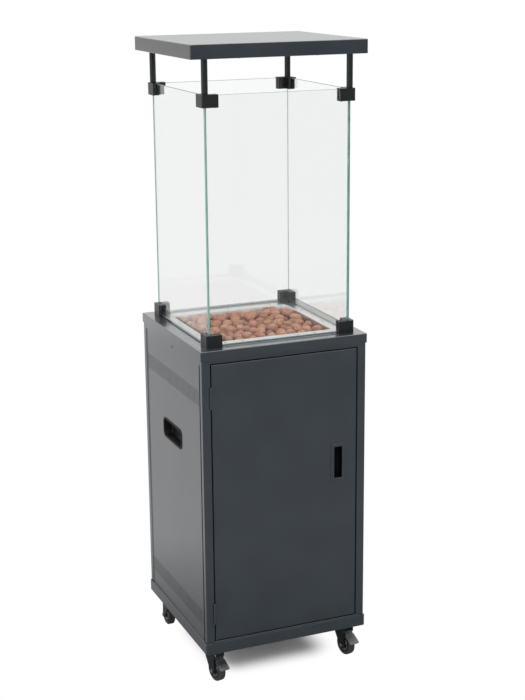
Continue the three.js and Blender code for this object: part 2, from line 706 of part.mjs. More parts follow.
// The grate that the stones lie on: a slotted plate on the tray's ledge.
function stoneGrate() {
  const halfX = TRAY_X - TRAY_SLOPE_INSET - GRATE_EDGE_GAP;
  const halfY = TRAY_Y - TRAY_SLOPE_INSET - GRATE_EDGE_GAP;
  const span = halfX - GRATE_SLOT_MARGIN;
  const count = 2 * Math.floor(span / GRATE_SLOT_PITCH) + 1;
  const slots = Array.from({ length: count }, (_, i) => {
    const middle = (i - (count - 1) / 2) * GRATE_SLOT_PITCH;
    return slab(
      [middle - GRATE_SLOT_WIDTH / 2, middle + GRATE_SLOT_WIDTH / 2],
      centred(halfY - GRATE_SLOT_MARGIN),
      [GRATE_Z - CUT_OVERRUN, GRATE_Z + GRATE_SHEET + CUT_OVERRUN],
    );
  });
  return cut(slab(centred(halfX), centred(halfY), [GRATE_Z, GRATE_Z + GRATE_SHEET]), slots);
}

// Repeatable numbers from 0 to 1.
function makeRandom(seed) {
  const modulus = 2147483647;
  const factor = 48271;
  let state = seed;
  return () => {
    state = (state * factor) % modulus;
    return state / modulus;
  };
}

// One rounded, uneven stone that fills the given box.
function stone(random, [x0, x1], [y0, y1], [z0, z1]) {
  const geometry = new THREE.DodecahedronGeometry(1);
  const phases = [random(), random(), random()].map((value) => value * 2 * Math.PI);
  const position = geometry.attributes.position;
  const point = new THREE.Vector3();
  for (let i = 0; i < position.count; i += 1) {
    point.fromBufferAttribute(position, i);
    const wave = Math.sin(2 * point.x + phases[0])
      + Math.sin(3 * point.y + phases[1])
      + Math.sin(3 * point.z + phases[2]);
    point.multiplyScalar(1 + STONE_ROUGH_SHARE * wave);
    position.setXYZ(i, point.x, point.y, point.z);
  }
  geometry.rotateX(random() * Math.PI).rotateZ(random() * Math.PI);
  geometry.computeBoundingBox();
  const { min, max } = geometry.boundingBox;
  geometry.translate(-min.x, -min.y, -min.z);
  geometry.scale((x1 - x0) / (max.x - min.x), (y1 - y0) / (max.y - min.y), (z1 - z0) / (max.z - min.z));
  return toSolid(geometry.translate(x0, y0, z0));
}

// One layer of lava stones on the grate, in rows that stand half a stone apart. Each stone
// leans a little into its neighbours, so the bed is one solid.
function lavaStones() {
  const random = makeRandom(STONE_SEED);
  const bedX = TRAY_X - TRAY_SLOPE_INSET - GRATE_EDGE_GAP;
  const bedY = TRAY_Y - TRAY_SLOPE_INSET - GRATE_EDGE_GAP;
  const cellX = 2 * bedX / (STONES_ACROSS + 1 / 2);
  const cellY = 2 * bedY / STONES_DEEP;
  const spread = () => STONE_SIZE_SPREAD_SHARE * random();
  const within = (limit, from, to) => [
    Math.max(-limit, from - STONE_OVERLAP / 2),
    Math.min(limit, to + STONE_OVERLAP / 2),
  ];
  const stones = [];
  for (let row = 0; row < STONES_DEEP; row += 1) {
    for (let column = 0; column < STONES_ACROSS; column += 1) {
      const left = -bedX + (column + (row % 2) / 2) * cellX;
      const front = -bedY + row * cellY;
      stones.push(stone(
        random,
        within(bedX, left - cellX * spread(), left + cellX * (1 + spread())),
        within(bedY, front - cellY * spread(), front + cellY * (1 + spread())),
        [STONE_BED_Z, STONE_BED_Z + STONE_HEIGHT - STONE_HEIGHT_SPREAD * random()],
      ));
    }
  }
  return join(stones);
}

// The ring burner with its cross tube, mixing tube and injector, standing on a collar in the
// tray's well.
function ringBurner() {
  const ring = toSolid(new THREE.TorusGeometry(
    BURNER_RING_RADIUS,
    BURNER_TUBE_RADIUS,
    SMALL_SIDES,
    FINE_SIDES,
  ).translate(0, 0, BURNER_Z));
  const crossTube = rod(
    BURNER_TUBE_RADIUS - TRAY_SHEET,
    [-BURNER_RING_RADIUS, 0, BURNER_Z],
    [BURNER_RING_RADIUS, 0, BURNER_Z],
    SMALL_SIDES,
  );
  const mixer = rod(MIXER_RADIUS, [0, 0, MIXER_BOTTOM], [0, 0, BURNER_Z]);
  const collarZ = TRAY_FLOOR_Z + TRAY_SHEET + SEAT_GAP;
  const collar = rod(BURNER_COLLAR_RADIUS, [0, 0, collarZ], [0, 0, collarZ + BURNER_COLLAR_HEIGHT]);
  const airPort = slab(
    centred(MIXER_PORT_WIDTH / 2),
    centred(MIXER_RADIUS + CUT_OVERRUN),
    [MIXER_BOTTOM + MIXER_PORT_WIDTH, MIXER_BOTTOM + MIXER_PORT_WIDTH + MIXER_PORT_HEIGHT],
  );
  const injector = slab(
    centred(INJECTOR_SIZE / 2),
    centred(INJECTOR_SIZE / 2),
    [INJECTOR_Z - INJECTOR_SIZE / 2, MIXER_BOTTOM],
  );
  const inlet = rod(
    FITTING_RADIUS,
    [0, -INJECTOR_REACH, INJECTOR_Z],
    [0, 0, INJECTOR_Z],
    SMALL_SIDES,
  );
  return join(cut(join(ring, crossTube, mixer, collar), airPort), injector, inlet);
}

// The pilot: its hood, the spark electrode and the flame probe on one small bracket.
function pilotAssembly() {
  const foot = TRAY_FLOOR_Z + TRAY_SHEET + SEAT_GAP;
  const top = foot + PILOT_BASE_HEIGHT;
  const bracket = slab(
    [PILOT_OFFSET - PILOT_BASE_WIDTH / 2, PILOT_OFFSET + PILOT_BASE_WIDTH / 2],
    centred(PILOT_BASE_DEPTH / 2),
    [foot, top],
  );
  const stems = [[-PILOT_SPACING, PROBE_RADIUS], [0, PILOT_RADIUS], [PILOT_SPACING, PROBE_RADIUS]];
  return join(bracket, stems.map(([y, radius]) => rod(
    radius,
    [PILOT_OFFSET, y, foot],
    [PILOT_OFFSET, y, top + PILOT_HEIGHT],
    SMALL_SIDES,
  )));
}

// The control panel: a plate across the cabinet behind the door, returned at both ends.
function controlPanel() {
  const halfX = PANEL_INNER_X - SEAT_GAP;
  const height = [CONTROL_TOP - CONTROL_HEIGHT, CONTROL_TOP];
  const plate = slab(centred(halfX), [CONTROL_Y, CONTROL_BACK_Y], height);
  const returns = [-1, 1].map((side) => (
    slab(onSide(side, halfX - SHEET, halfX), [CONTROL_Y, CONTROL_Y + CONTROL_RETURN], height)
  ));
  const hole = (x, radius) => rod(
    radius + RUNNING_GAP,
    [x, CONTROL_Y - CUT_OVERRUN, CONTROL_Z],
    [x, CONTROL_BACK_Y + CUT_OVERRUN, CONTROL_Z],
  );
  return cut(
    join(plate, returns),
    hole(KNOB_X, VALVE_BUSH_RADIUS),
    hole(BUTTON_X, IGNITER_RADIUS),
  );
}

// The gas valve: its body behind the panel, a bush for the spindle, a barbed inlet pointing
// down and the outlet nut at the back.
function gasValve() {
  const front = CONTROL_BACK_Y + SEAT_GAP;
  const back = front + VALVE_DEPTH;
  const body = slab(
    [KNOB_X - VALVE_WIDTH / 2, KNOB_X + VALVE_WIDTH / 2],
    [front, back],
    [CONTROL_Z - VALVE_HEIGHT / 2, CONTROL_Z + VALVE_HEIGHT / 2],
  );
  const bush = rod(
    VALVE_BUSH_RADIUS,
    [KNOB_X, CONTROL_Y - VALVE_BUSH_REACH, CONTROL_Z],
    [KNOB_X, front + VALVE_BUSH_REACH, CONTROL_Z],
  );
  const outlet = rod(
    FITTING_RADIUS,
    [KNOB_X, back - VALVE_BUSH_REACH, CONTROL_Z],
    [KNOB_X, back + VALVE_NUT_LENGTH, CONTROL_Z],
    SMALL_SIDES,
  );
  const middle = (front + back) / 2;
  const inletTop = CONTROL_Z - VALVE_HEIGHT / 2;
  const stem = rod(
    INLET_RADIUS,
    [KNOB_X, middle, inletTop - INLET_LENGTH],
    [KNOB_X, middle, inletTop + VALVE_BUSH_REACH],
    SMALL_SIDES,
  );
  const barbPitch = INLET_LENGTH / (INLET_BARBS + 1);
  const barbs = Array.from({ length: INLET_BARBS }, (_, i) => rod(
    INLET_RADIUS + INLET_BARB,
    [KNOB_X, middle, inletTop - INLET_LENGTH + i * barbPitch + INLET_BARB],
    [KNOB_X, middle, inletTop - INLET_LENGTH + i * barbPitch + INLET_BARB * 3],
    SMALL_SIDES,
  ));
  const spindleBore = rod(
    SPINDLE_RADIUS + RUNNING_GAP,
    [KNOB_X, CONTROL_Y - VALVE_BUSH_REACH - CUT_OVERRUN, CONTROL_Z],
    [KNOB_X, front + SPINDLE_REACH + SEAT_GAP, CONTROL_Z],
    SMALL_SIDES,
  );
  return cut(join(body, bush, outlet, stem, barbs), spindleBore);
}

// The control knob with its pointer rib and the spindle that it turns.
function controlKnob() {
  const back = CONTROL_Y - VALVE_BUSH_REACH - RUNNING_GAP;
  const along = (distance) => [KNOB_X, back - distance, CONTROL_Z];
  const skirt = rod(KNOB_RADIUS, along(0), along(KNOB_SKIRT), FINE_SIDES);
  const grip = rod(KNOB_GRIP_RADIUS, along(0), along(KNOB_HEIGHT), FINE_SIDES);
  const pointer = slab(
    [KNOB_X - KNOB_POINTER_WIDTH / 2, KNOB_X + KNOB_POINTER_WIDTH / 2],
    [back - KNOB_HEIGHT - KNOB_POINTER_RISE, back - KNOB_SKIRT],
    [CONTROL_Z, CONTROL_Z + KNOB_RADIUS],
  );
  const spindle = rod(
    SPINDLE_RADIUS,
    along(KNOB_SKIRT),
    [KNOB_X, CONTROL_BACK_Y + SEAT_GAP + SPINDLE_REACH, CONTROL_Z],
    SMALL_SIDES,
  );
  return join(skirt, grip, pointer, spindle);
}

// The igniter: a sleeve through the panel with a bezel in front and the spark unit behind.
function igniterBody() {
  const at = (y) => [BUTTON_X, y, CONTROL_Z];
  const bezelBack = CONTROL_Y - SEAT_GAP;
  const sleeve = rod(IGNITER_RADIUS, at(bezelBack), at(CONTROL_BACK_Y + IGNITER_LENGTH));
  const bezel = rod(IGNITER_BEZEL_RADIUS, at(bezelBack - IGNITER_BEZEL), at(bezelBack));
  const bore = rod(
    BUTTON_RADIUS + RUNNING_GAP,
    at(bezelBack - IGNITER_BEZEL - CUT_OVERRUN),
    at(bezelBack - IGNITER_BEZEL - BUTTON_PROUD + BUTTON_LENGTH + BUTTON_TRAVEL + SEAT_GAP),
  );
  return cut(join(sleeve, bezel), bore);
}

function igniterButton() {
  const front = CONTROL_Y - SEAT_GAP - IGNITER_BEZEL - BUTTON_PROUD;
  return rod(
    BUTTON_RADIUS,
    [BUTTON_X, front, CONTROL_Z],
    [BUTTON_X, front + BUTTON_LENGTH, CONTROL_Z],
  );
}

// The fixed gas pipe from the valve's outlet to the burner's injector, in one easy double bend.
function gasPipe() {
  const start = new THREE.Vector3(
    KNOB_X,
    CONTROL_BACK_Y + SEAT_GAP + VALVE_DEPTH + VALVE_NUT_LENGTH + SEAT_GAP,
    CONTROL_Z,
  );
  const end = new THREE.Vector3(0, -INJECTOR_REACH - SEAT_GAP, INJECTOR_Z);
  const ease = new THREE.Vector3(0, GAS_PIPE_EASE, 0);
  const route = new THREE.CubicBezierCurve3(
    start,
    start.clone().add(ease),
    end.clone().sub(ease),
    end,
  );
  const section = new THREE.Shape().absarc(0, 0, GAS_PIPE_RADIUS, 0, 2 * Math.PI);
  return toSolid(new THREE.ExtrudeGeometry(section, {
    extrudePath: route,
    steps: ROUND_SIDES,
    curveSegments: CORNER_STEPS,
  }));
}

// One pane of the chamber. The front and back panes run the full width, and the side panes
// stand between them.
function glassPane(axis, side) {
  const thick = onSide(side, GLASS_X - GLASS_THICKNESS, GLASS_X);
  const height = [GLASS_BOTTOM, GLASS_TOP];
  return axis === 'y'
    ? slab(centred(GLASS_X), thick, height)
    : slab(thick, centred(GLASS_X - GLASS_THICKNESS - GLASS_CLEARANCE), height);
}

// The L-shaped outline of the front-left clamp or of a channel inside it, between two
// distances from the middle planes.
function cornerOutline(outer, inner, end) {
  return [
    [-outer, -outer],
    [-end, -outer],
    [-end, -inner],
    [-inner, -inner],
    [-inner, -end],
    [-outer, -end],
  ];
}

// A clamp body for the front-left corner, from z = 0 up, with the slot still to be cut.
function clampBlock() {
  const inner = CLAMP_X - CLAMP_THICKNESS;
  const end = CLAMP_X - CLAMP_LEG;
  const outline = new THREE.Shape();
  outline.moveTo(-end, -CLAMP_X);
  for (const [u, v] of cornerOutline(CLAMP_X, inner, end).slice(2)) {
    outline.lineTo(u, v);
  }
  outline.absarc(-CLAMP_X + CLAMP_CORNER, -CLAMP_X + CLAMP_CORNER, CLAMP_CORNER, Math.PI, 1.5 * Math.PI);
  outline.closePath();
  return prism(outline, 'z', [0, CLAMP_HEIGHT]);
}

function glassSlot([from, to]) {
  const outer = GLASS_X + GLASS_CLEARANCE;
  const inner = GLASS_X - GLASS_THICKNESS - GLASS_CLEARANCE;
  const end = CLAMP_X - CLAMP_LEG - CUT_OVERRUN;
  return prism(polygon(cornerOutline(outer, inner, end)), 'z', [from, to]);
}

// A lower clamp stands on the lid, laps over the tray's flange and holds the glass off it.
function lowerClamp() {
  const flangeReach = TRAY_FLANGE_WIDTH / 2 + SEAT_GAP;
  const rebate = slab([-flangeReach, 0], [-flangeReach, 0], [-CUT_OVERRUN, CLAMP_REBATE]);
  const slot = glassSlot([CLAMP_REBATE + CLAMP_FLOOR, CLAMP_HEIGHT + CUT_OVERRUN]);
  return cut(clampBlock(), rebate, slot);
}

// An upper clamp caps the corner of the glass and carries the stud of a post.
function upperClamp() {
  const slot = glassSlot([-CUT_OVERRUN, CLAMP_HEIGHT - CLAMP_ROOF]);
  const stud = rod(
    STUD_RADIUS,
    [-POST_X, -POST_X, CLAMP_HEIGHT - CLAMP_ROOF / 2],
    [-POST_X, -POST_X, CLAMP_HEIGHT + STUD_HEIGHT],
    SMALL_SIDES,
  );
  return join(cut(clampBlock(), slot), stud);
}

// The corners in order as the front-left one is turned about the middle by quarter turns.
const CORNERS = ['front_left', 'front_right', 'back_right', 'back_left'];
const CORNER_SIGNS = [[-1, -1], [1, -1], [1, 1], [-1, 1]];

// A post: bored below for the clamp's stud, with a stud of its own above for the canopy.
function post() {
  return turned([
    [0, POST_HEIGHT + STUD_HEIGHT],
    [0, STUD_HEIGHT + POST_BORE_END],
    [POST_BORE_RADIUS, STUD_HEIGHT + POST_BORE_END],
    [POST_BORE_RADIUS, 0],
    [POST_RADIUS, 0],
    [POST_RADIUS, POST_HEIGHT],
    [STUD_RADIUS, POST_HEIGHT],
    [STUD_RADIUS, POST_HEIGHT + STUD_HEIGHT],
    [0, POST_HEIGHT + STUD_HEIGHT],
  ]);
}

function studHoles([from, to]) {
  return CORNER_SIGNS.map(([sx, sy]) => rod(
    STUD_RADIUS + RUNNING_GAP,
    [sx * POST_X, sy * POST_X, from],
    [sx * POST_X, sy * POST_X, to],
    SMALL_SIDES,
  ));
}

// The canopy: a folded pan, open downwards, closed by the heat plate.
function canopyShell() {
  return cut(
    slab(centred(CANOPY_X), centred(CANOPY_Y), [CANOPY_BOTTOM, CANOPY_TOP]),
    slab(
      centred(CANOPY_X - SHEET),
      centred(CANOPY_Y - SHEET),
      [CANOPY_BOTTOM - CUT_OVERRUN, CANOPY_TOP - SHEET],
    ),
  );
}

function canopyHeatPlate() {
  const halfX = CANOPY_X - SHEET - SEAT_GAP;
  const halfY = CANOPY_Y - SHEET - SEAT_GAP;
  const top = CANOPY_BOTTOM + HEAT_PLATE_FLANGE;
  return cut(
    slab(centred(halfX), centred(halfY), [CANOPY_BOTTOM, top]),
    slab(centred(halfX - SHEET), centred(halfY - SHEET), [CANOPY_BOTTOM + SHEET, top + CUT_OVERRUN]),
    studHoles([CANOPY_BOTTOM - CUT_OVERRUN, CANOPY_BOTTOM + SHEET + CUT_OVERRUN]),
  );
}

// A caster's fixed top plate and bearing race, about its own swivel axis.
function casterPlate() {
  const half = CASTER_PLATE_SIZE / 2;
  return join(
    slab(centred(half), centred(half), [RACE_TOP, CASTER_PLATE_TOP]),
    rod(RACE_RADIUS, [0, 0, RACE_TOP - RACE_HEIGHT], [0, 0, CASTER_PLATE_TOP - CASTER_PLATE / 2]),
  );
}

// The swivelling fork: a round crown, a bridge and two arms that lean forward to the axle.
// Forward, where the wheel trails to, is -Y.
function casterFork() {
  const crown = rod(CROWN_RADIUS, [0, 0, CROWN_BOTTOM], [0, 0, CROWN_TOP]);
  const bridge = slab(
    centred(FORK_OUTER_X),
    [-PEDAL_PIVOT_FORWARD + PEDAL_BARREL_RADIUS + RUNNING_GAP, FORK_BACK],
    [CROWN_BOTTOM - FORK_SHEET, CROWN_BOTTOM],
  );
  const outline = polygon([
    [FORK_BACK, CROWN_BOTTOM],
    [-FORK_FRONT, CROWN_BOTTOM],
    [-FORK_FRONT, PEDAL_PIVOT_Z - PEDAL_BARREL_RADIUS],
    [-CASTER_TRAIL - FORK_EYE_RADIUS, WHEEL_RADIUS],
    [-CASTER_TRAIL + FORK_EYE_RADIUS, WHEEL_RADIUS],
    [FORK_BACK, CROWN_BOTTOM - FORK_SHOULDER],
  ]);
  const arms = [-1, 1].map((side) => {
    const width = onSide(side, FORK_INNER_X, FORK_OUTER_X);
    const eye = rod(
      FORK_EYE_RADIUS,
      [width[0], -CASTER_TRAIL, WHEEL_RADIUS],
      [width[1], -CASTER_TRAIL, WHEEL_RADIUS],
    );
    return join(prism(outline, 'x', width), eye);
  });
  const pinHole = rod(
    PEDAL_PIN_RADIUS + RUNNING_GAP,
    [-FORK_OUTER_X - CUT_OVERRUN, -PEDAL_PIVOT_FORWARD, PEDAL_PIVOT_Z],
    [FORK_OUTER_X + CUT_OVERRUN, -PEDAL_PIVOT_FORWARD, PEDAL_PIVOT_Z],
    SMALL_SIDES,
  );
  return join(cut(join(crown, bridge, arms), pinHole), casterAxle());
}

// A wheel with a rounded tread, turned about its axle along X.
function casterWheel() {
  const half = WHEEL_WIDTH / 2;
  const bore = AXLE_RADIUS + RUNNING_GAP;
  const wheel = turned([
    [bore, -half],
    [WHEEL_RADIUS - TREAD_ROUND, -half],
    [WHEEL_RADIUS, TREAD_ROUND - half],
    [WHEEL_RADIUS, half - TREAD_ROUND],
    [WHEEL_RADIUS - TREAD_ROUND, half],
    [bore, half],
    [bore, -half],
  ], FINE_SIDES);
  const upright = new THREE.Matrix4().makeRotationY(Math.PI / 2);
  return moved(wheel, upright.setPosition(0, -CASTER_TRAIL, WHEEL_RADIUS));
}

// The axle riveted into the fork, with its head on one side and its nut on the other.
function casterAxle() {
  const at = (x) => [x, -CASTER_TRAIL, WHEEL_RADIUS];
  const seat = FORK_OUTER_X;
  return join(
    rod(AXLE_RADIUS, at(-seat - AXLE_HEAD / 2), at(seat + AXLE_HEAD / 2), SMALL_SIDES),
    rod(AXLE_HEAD_RADIUS, at(-seat - AXLE_HEAD), at(-seat), HEX_SIDES),
    rod(AXLE_HEAD_RADIUS, at(seat), at(seat + AXLE_HEAD), HEX_SIDES),
  );
}

// The brake pedal: a barrel between the fork's arms and a bent plate out over the wheel. Its
// plate is laid out flat along -Y from the pivot, then sloped.
function brakePedal() {
  const rootHalf = PEDAL_ROOT_WIDTH / 2;
  const tipHalf = PEDAL_TIP_WIDTH / 2;
  const plate = prism(polygon([
    [-rootHalf, 0],
    [rootHalf, 0],
    [rootHalf, -PEDAL_ROOT_LENGTH],
    [tipHalf, -PEDAL_ROOT_LENGTH - PEDAL_THICKNESS],
    [tipHalf, -PEDAL_LENGTH],
    [-tipHalf, -PEDAL_LENGTH],
    [-tipHalf, -PEDAL_ROOT_LENGTH - PEDAL_THICKNESS],
    [-rootHalf, -PEDAL_ROOT_LENGTH],
  ]), 'z', centred(PEDAL_THICKNESS / 2));
  const toe = moved(
    slab(centred(tipHalf), [-PEDAL_TOE_LENGTH, PEDAL_THICKNESS / 2], centred(PEDAL_THICKNESS / 2)),
    new THREE.Matrix4()
      .makeRotationX(THREE.MathUtils.degToRad(-PEDAL_TOE_DEGREES))
      .setPosition(0, -PEDAL_LENGTH, 0),
  );
  const sloped = moved(
    join(plate, toe),
    new THREE.Matrix4().makeRotationX(THREE.MathUtils.degToRad(PEDAL_SLOPE_DEGREES)),
  );
  const barrel = rod(
    PEDAL_BARREL_RADIUS,
    [-FORK_INNER_X + RUNNING_GAP, 0, 0],
    [FORK_INNER_X - RUNNING_GAP, 0, 0],
    SMALL_SIDES,
  );
  const pin = rod(PEDAL_PIN_RADIUS, [-FORK_OUTER_X, 0, 0], [FORK_OUTER_X, 0, 0], SMALL_SIDES);
  return moved(
    join(sloped, barrel, pin),
    new THREE.Matrix4().makeTranslation(0, -PEDAL_PIVOT_FORWARD, PEDAL_PIVOT_Z),
  );
}

// Cabinet
addPiece('base_pan', basePan(), 'anthracite');
addPiece('front_frame', frontFrame(), 'anthracite');
addPiece('back_panel', backPanel(), 'anthracite');
for (const [name, side] of [['left', -1], ['right', 1]]) {
  addPiece(`${name}_side_panel`, sidePanel(side), 'anthracite');
  addPiece(`${name}_handle_cup`, handleCup(side), 'black_plastic');
  addPiece(`${name}_panel_screw`, panelScrew(side), 'zinc');
}
addPiece('lid', lid(), 'anthracite');

// Door
for (const [name, z] of [['lower', HINGE_HEIGHTS[0]], ['upper', HINGE_HEIGHTS[1]]]) {
  addPiece(`${name}_hinge_frame_barrel`, hingeFrameBarrel(z), 'anthracite');
  addPiece(`${name}_hinge_door_barrel`, hingeDoorBarrel(z), 'anthracite');
}
addPiece('door_panel', doorPanel(), 'anthracite');
addPiece('door_pull', doorPull(), 'anthracite');
addPiece('magnet_catch', magnetCatch(), 'black_plastic');

// Burner and controls
addPiece('burner_tray', burnerTray(), 'stainless');
addPiece('stone_grate', stoneGrate(), 'stainless');
addPiece('lava_stones', lavaStones(), 'lava');
addPiece('ring_burner', ringBurner(), 'stainless');
addPiece('pilot_assembly', pilotAssembly(), 'stainless');
addPiece('control_panel', controlPanel(), 'zinc');
addPiece('gas_valve', gasValve(), 'brass');
addPiece('control_knob', controlKnob(), 'black_plastic');
addPiece('igniter_body', igniterBody(), 'black_plastic');
addPiece('igniter_button', igniterButton(), 'black_plastic');
addPiece('gas_pipe', gasPipe(), 'zinc');

// Flame chamber and canopy
const PANES = [['front', 'y', -1], ['back', 'y', 1], ['left', 'x', -1], ['right', 'x', 1]];
for (const [name, axis, side] of PANES) {
  addPiece(`glass_${name}`, glassPane(axis, side), 'clear_glass');
}
CORNERS.forEach((corner, quarter) => {
  const turn = new THREE.Group();
  turn.rotation.z = quarter * Math.PI / 2;
  heater.add(turn);
  addPiece(`lower_clamp_${corner}`, lowerClamp(), 'black_paint', turn).position.z = LOWER_CLAMP_Z;
  addPiece(`upper_clamp_${corner}`, upperClamp(), 'black_paint', turn).position.z = UPPER_CLAMP_Z;
  addPiece(`post_${corner}`, post(), 'black_paint', turn).position.set(-POST_X, -POST_X, POST_BOTTOM);
});
addPiece('canopy_shell', canopyShell(), 'anthracite');
addPiece('canopy_heat_plate', canopyHeatPlate(), 'stainless');

// Casters: the front pair trails forward, turned a little to the right, and has brakes. The back
// pair trails backward.
CORNERS.forEach((corner, index) => {
  const [sx, sy] = CORNER_SIGNS[index];
  const caster = new THREE.Group();
  caster.position.set(sx * CASTER_X, sy * CASTER_Y, 0);
  caster.rotation.z = sy > 0 ? Math.PI : THREE.MathUtils.degToRad(FRONT_SWIVEL_DEGREES);
  heater.add(caster);
  addPiece(`caster_plate_${corner}`, casterPlate(), 'zinc', caster);
  addPiece(`caster_fork_${corner}`, casterFork(), 'black_paint', caster);
  addPiece(`caster_wheel_${corner}`, casterWheel(), 'tyre', caster);
  if (sy < 0) addPiece(`caster_brake_${corner}`, brakePedal(), 'zinc', caster);
});

export default heater;
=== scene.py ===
import math
import random

import bmesh
import bpy
from mathutils import Matrix, Vector


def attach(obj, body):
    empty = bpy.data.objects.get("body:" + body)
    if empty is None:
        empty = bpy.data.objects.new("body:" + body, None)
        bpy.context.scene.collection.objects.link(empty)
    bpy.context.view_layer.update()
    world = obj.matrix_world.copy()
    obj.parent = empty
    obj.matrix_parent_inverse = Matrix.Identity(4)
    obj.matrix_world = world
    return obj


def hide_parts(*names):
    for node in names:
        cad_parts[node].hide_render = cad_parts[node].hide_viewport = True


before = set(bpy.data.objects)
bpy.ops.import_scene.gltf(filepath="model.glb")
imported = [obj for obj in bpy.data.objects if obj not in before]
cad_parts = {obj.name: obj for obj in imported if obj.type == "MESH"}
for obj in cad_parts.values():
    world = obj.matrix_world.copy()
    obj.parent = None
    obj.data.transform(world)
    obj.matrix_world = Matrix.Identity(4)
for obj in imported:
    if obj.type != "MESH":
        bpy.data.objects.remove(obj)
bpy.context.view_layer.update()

# The camera stands about three metres off, to the left of the door and above the lid, and looks
# a little down. Its place was fitted to the edges of the cabinet, the glass and the canopy.
CAMERA_PLACE = (-1.2488, -3.0699, 1.6352)
CAMERA_YAW = 0.394
CAMERA_PITCH = 0.265
CAMERA_ROLL = -0.009
CAMERA_LENS, CAMERA_SENSOR = 75.56, 36


def put(name, data):
    """A new object in the scene."""
    thing = bpy.data.objects.new(name, data)
    bpy.context.scene.collection.objects.link(thing)
    return thing


bpy.context.scene.view_settings.view_transform = "Standard"
camera_data = bpy.data.cameras.new("camera")
camera_data.sensor_fit = "AUTO"
camera_data.sensor_width = CAMERA_SENSOR
camera_data.lens = CAMERA_LENS
camera = put("camera", camera_data)
bpy.context.scene.camera = camera
camera.matrix_world = (
    Matrix.Translation(CAMERA_PLACE)
    @ Matrix.Rotation(-CAMERA_YAW, 4, "Z")
    @ Matrix.Rotation(math.pi / 2 - CAMERA_PITCH, 4, "X")
    @ Matrix.Rotation(CAMERA_ROLL, 4, "Z")
)

# The studio is a white sheet that keeps the heater's shadow near its casters and runs out to
# plain white, and it is open to a look from below. Soft lamps hang overhead and stand to the left
# and in front. A gloss sees the front, the sheet near the heater and the low horizon darker: this
# is painted shade in the reflections, with a painted shadow of the heater on the sheet near it.
FLOOR_HALF = 30
FLOOR_WHITE = (0.97, 0.97, 0.965, 1)
FLOOR_SHADED_HALF = 0.08
FLOOR_FADE_END = 0.1
WHITE = (1, 1, 1, 1)
WORLD_STRENGTH = 0.7
LAMPS = (
    ("overhead_lamp", (0.1, -0.4, 3.6), 3.4, 75),
    ("left_lamp", (-3.2, -0.6, 1.7), 2.2, 14),
    ("front_lamp", (-1.2, -3.4, 2.8), 2.0, 36),
)
LAMP_AIM = Vector((0, 0, 0.7))
# Painted shade that only a gloss sees: (darkest at, full at, strength where darkest).
FRONT_WORLD = (-0.6, 0.0, 0.35)
LOW_WORLD = (0.04, 0.2, 0.6)
FLOOR_AROUND = ((2.9, 3.25, 0.62), (0.0, 0.7, 0.15))
FLOOR_LEFT = ((-1.16, -1.08, 0.8), (-7.0, -5.5, 0.5))
FLOOR_FRONT = ((-0.4, 0.0, 0.38), (-6.0, -2.0, 0.14))


def add_node(tree, kind, inputs=(), **settings):
    """A new node with its settings, and each input linked to a socket or set to a value."""
    node = tree.nodes.new(kind)
    for name, value in settings.items():
        setattr(node, name, value)
    for key, value in dict(inputs).items():
        if isinstance(value, bpy.types.NodeSocket):
            tree.links.new(value, node.inputs[key])
        else:
            node.inputs[key].default_value = value
    return node


def math_node(tree, operation, first, second, **settings):
    """A Math node of two values, each a socket or a number."""
    return add_node(
        tree, "ShaderNodeMath", {0: first, 1: second}, operation=operation, **settings
    ).outputs[0]


def map_range(tree, value, low, high, to_low=0.0, to_high=1.0, **settings):
    """A value from low to high laid out from to_low to to_high."""
    return add_node(tree, "ShaderNodeMapRange", {
        "Value": value, "From Min": low, "From Max": high, "To Min": to_low, "To Max": to_high,
    }, **settings).outputs[0]


def mix_shaders(tree, share, first, second):
    return add_node(
        tree, "ShaderNodeMixShader", {0: share, 1: first.outputs[0], 2: second.outputs[0]}
    )


def seen_by(tree):
    """Two shares: what the camera, a gloss or glass sees, and what a gloss sees without glass."""
    path = add_node(tree, "ShaderNodeLightPath").outputs
    camera_ray, gloss_ray, glass_ray = (
        path[f"Is {kind} Ray"] for kind in ("Camera", "Glossy", "Transmission")
    )
    seen = math_node(tree, "MAXIMUM", camera_ray, gloss_ray)
    return (
        math_node(tree, "MAXIMUM", seen, glass_ray),
        math_node(tree, "SUBTRACT", gloss_ray, glass_ray, use_clamp=True),
    )


def axes_of(tree, place):
    return add_node(tree, "ShaderNodeSeparateXYZ", {0: place}).outputs


def gloss_strength(tree, in_gloss, *dark_sides):
    """1, but less where a gloss looks to a dark side: (value, darkest at, full at, strength)."""
    strength = 1.0
    for value, dark_at, full_at, least in dark_sides:
        side = map_range(tree, value, dark_at, full_at, least)
        strength = math_node(tree, "MULTIPLY", side, strength)
    return add_node(tree, "ShaderNodeMix", {0: in_gloss, 2: 1.0, 3: strength}).outputs[0]


def corners_of(u0, v0, u1, v1):
    """The corners of a rectangle, in order."""
    return ((u0, v0), (u1, v0), (u1, v1), (u0, v1))


world = bpy.data.worlds.new("studio")
bpy.context.scene.world = world
world.use_nodes = True
tree = world.node_tree
tree.nodes.clear()
heading = add_node(tree, "ShaderNodeTexCoord")
_, ahead_of, above = axes_of(tree, heading.outputs["Generated"])
seen, in_gloss = seen_by(tree)
seen_strength = gloss_strength(tree, in_gloss, (ahead_of, *FRONT_WORLD), (above, *LOW_WORLD))
dim, plain = (
    add_node(tree, "ShaderNodeBackground", {"Color": WHITE, "Strength": strength})
    for strength in (WORLD_STRENGTH, seen_strength)
)
surface = mix_shaders(tree, seen, dim, plain)
add_node(tree, "ShaderNodeOutputWorld", {"Surface": surface.outputs[0]})

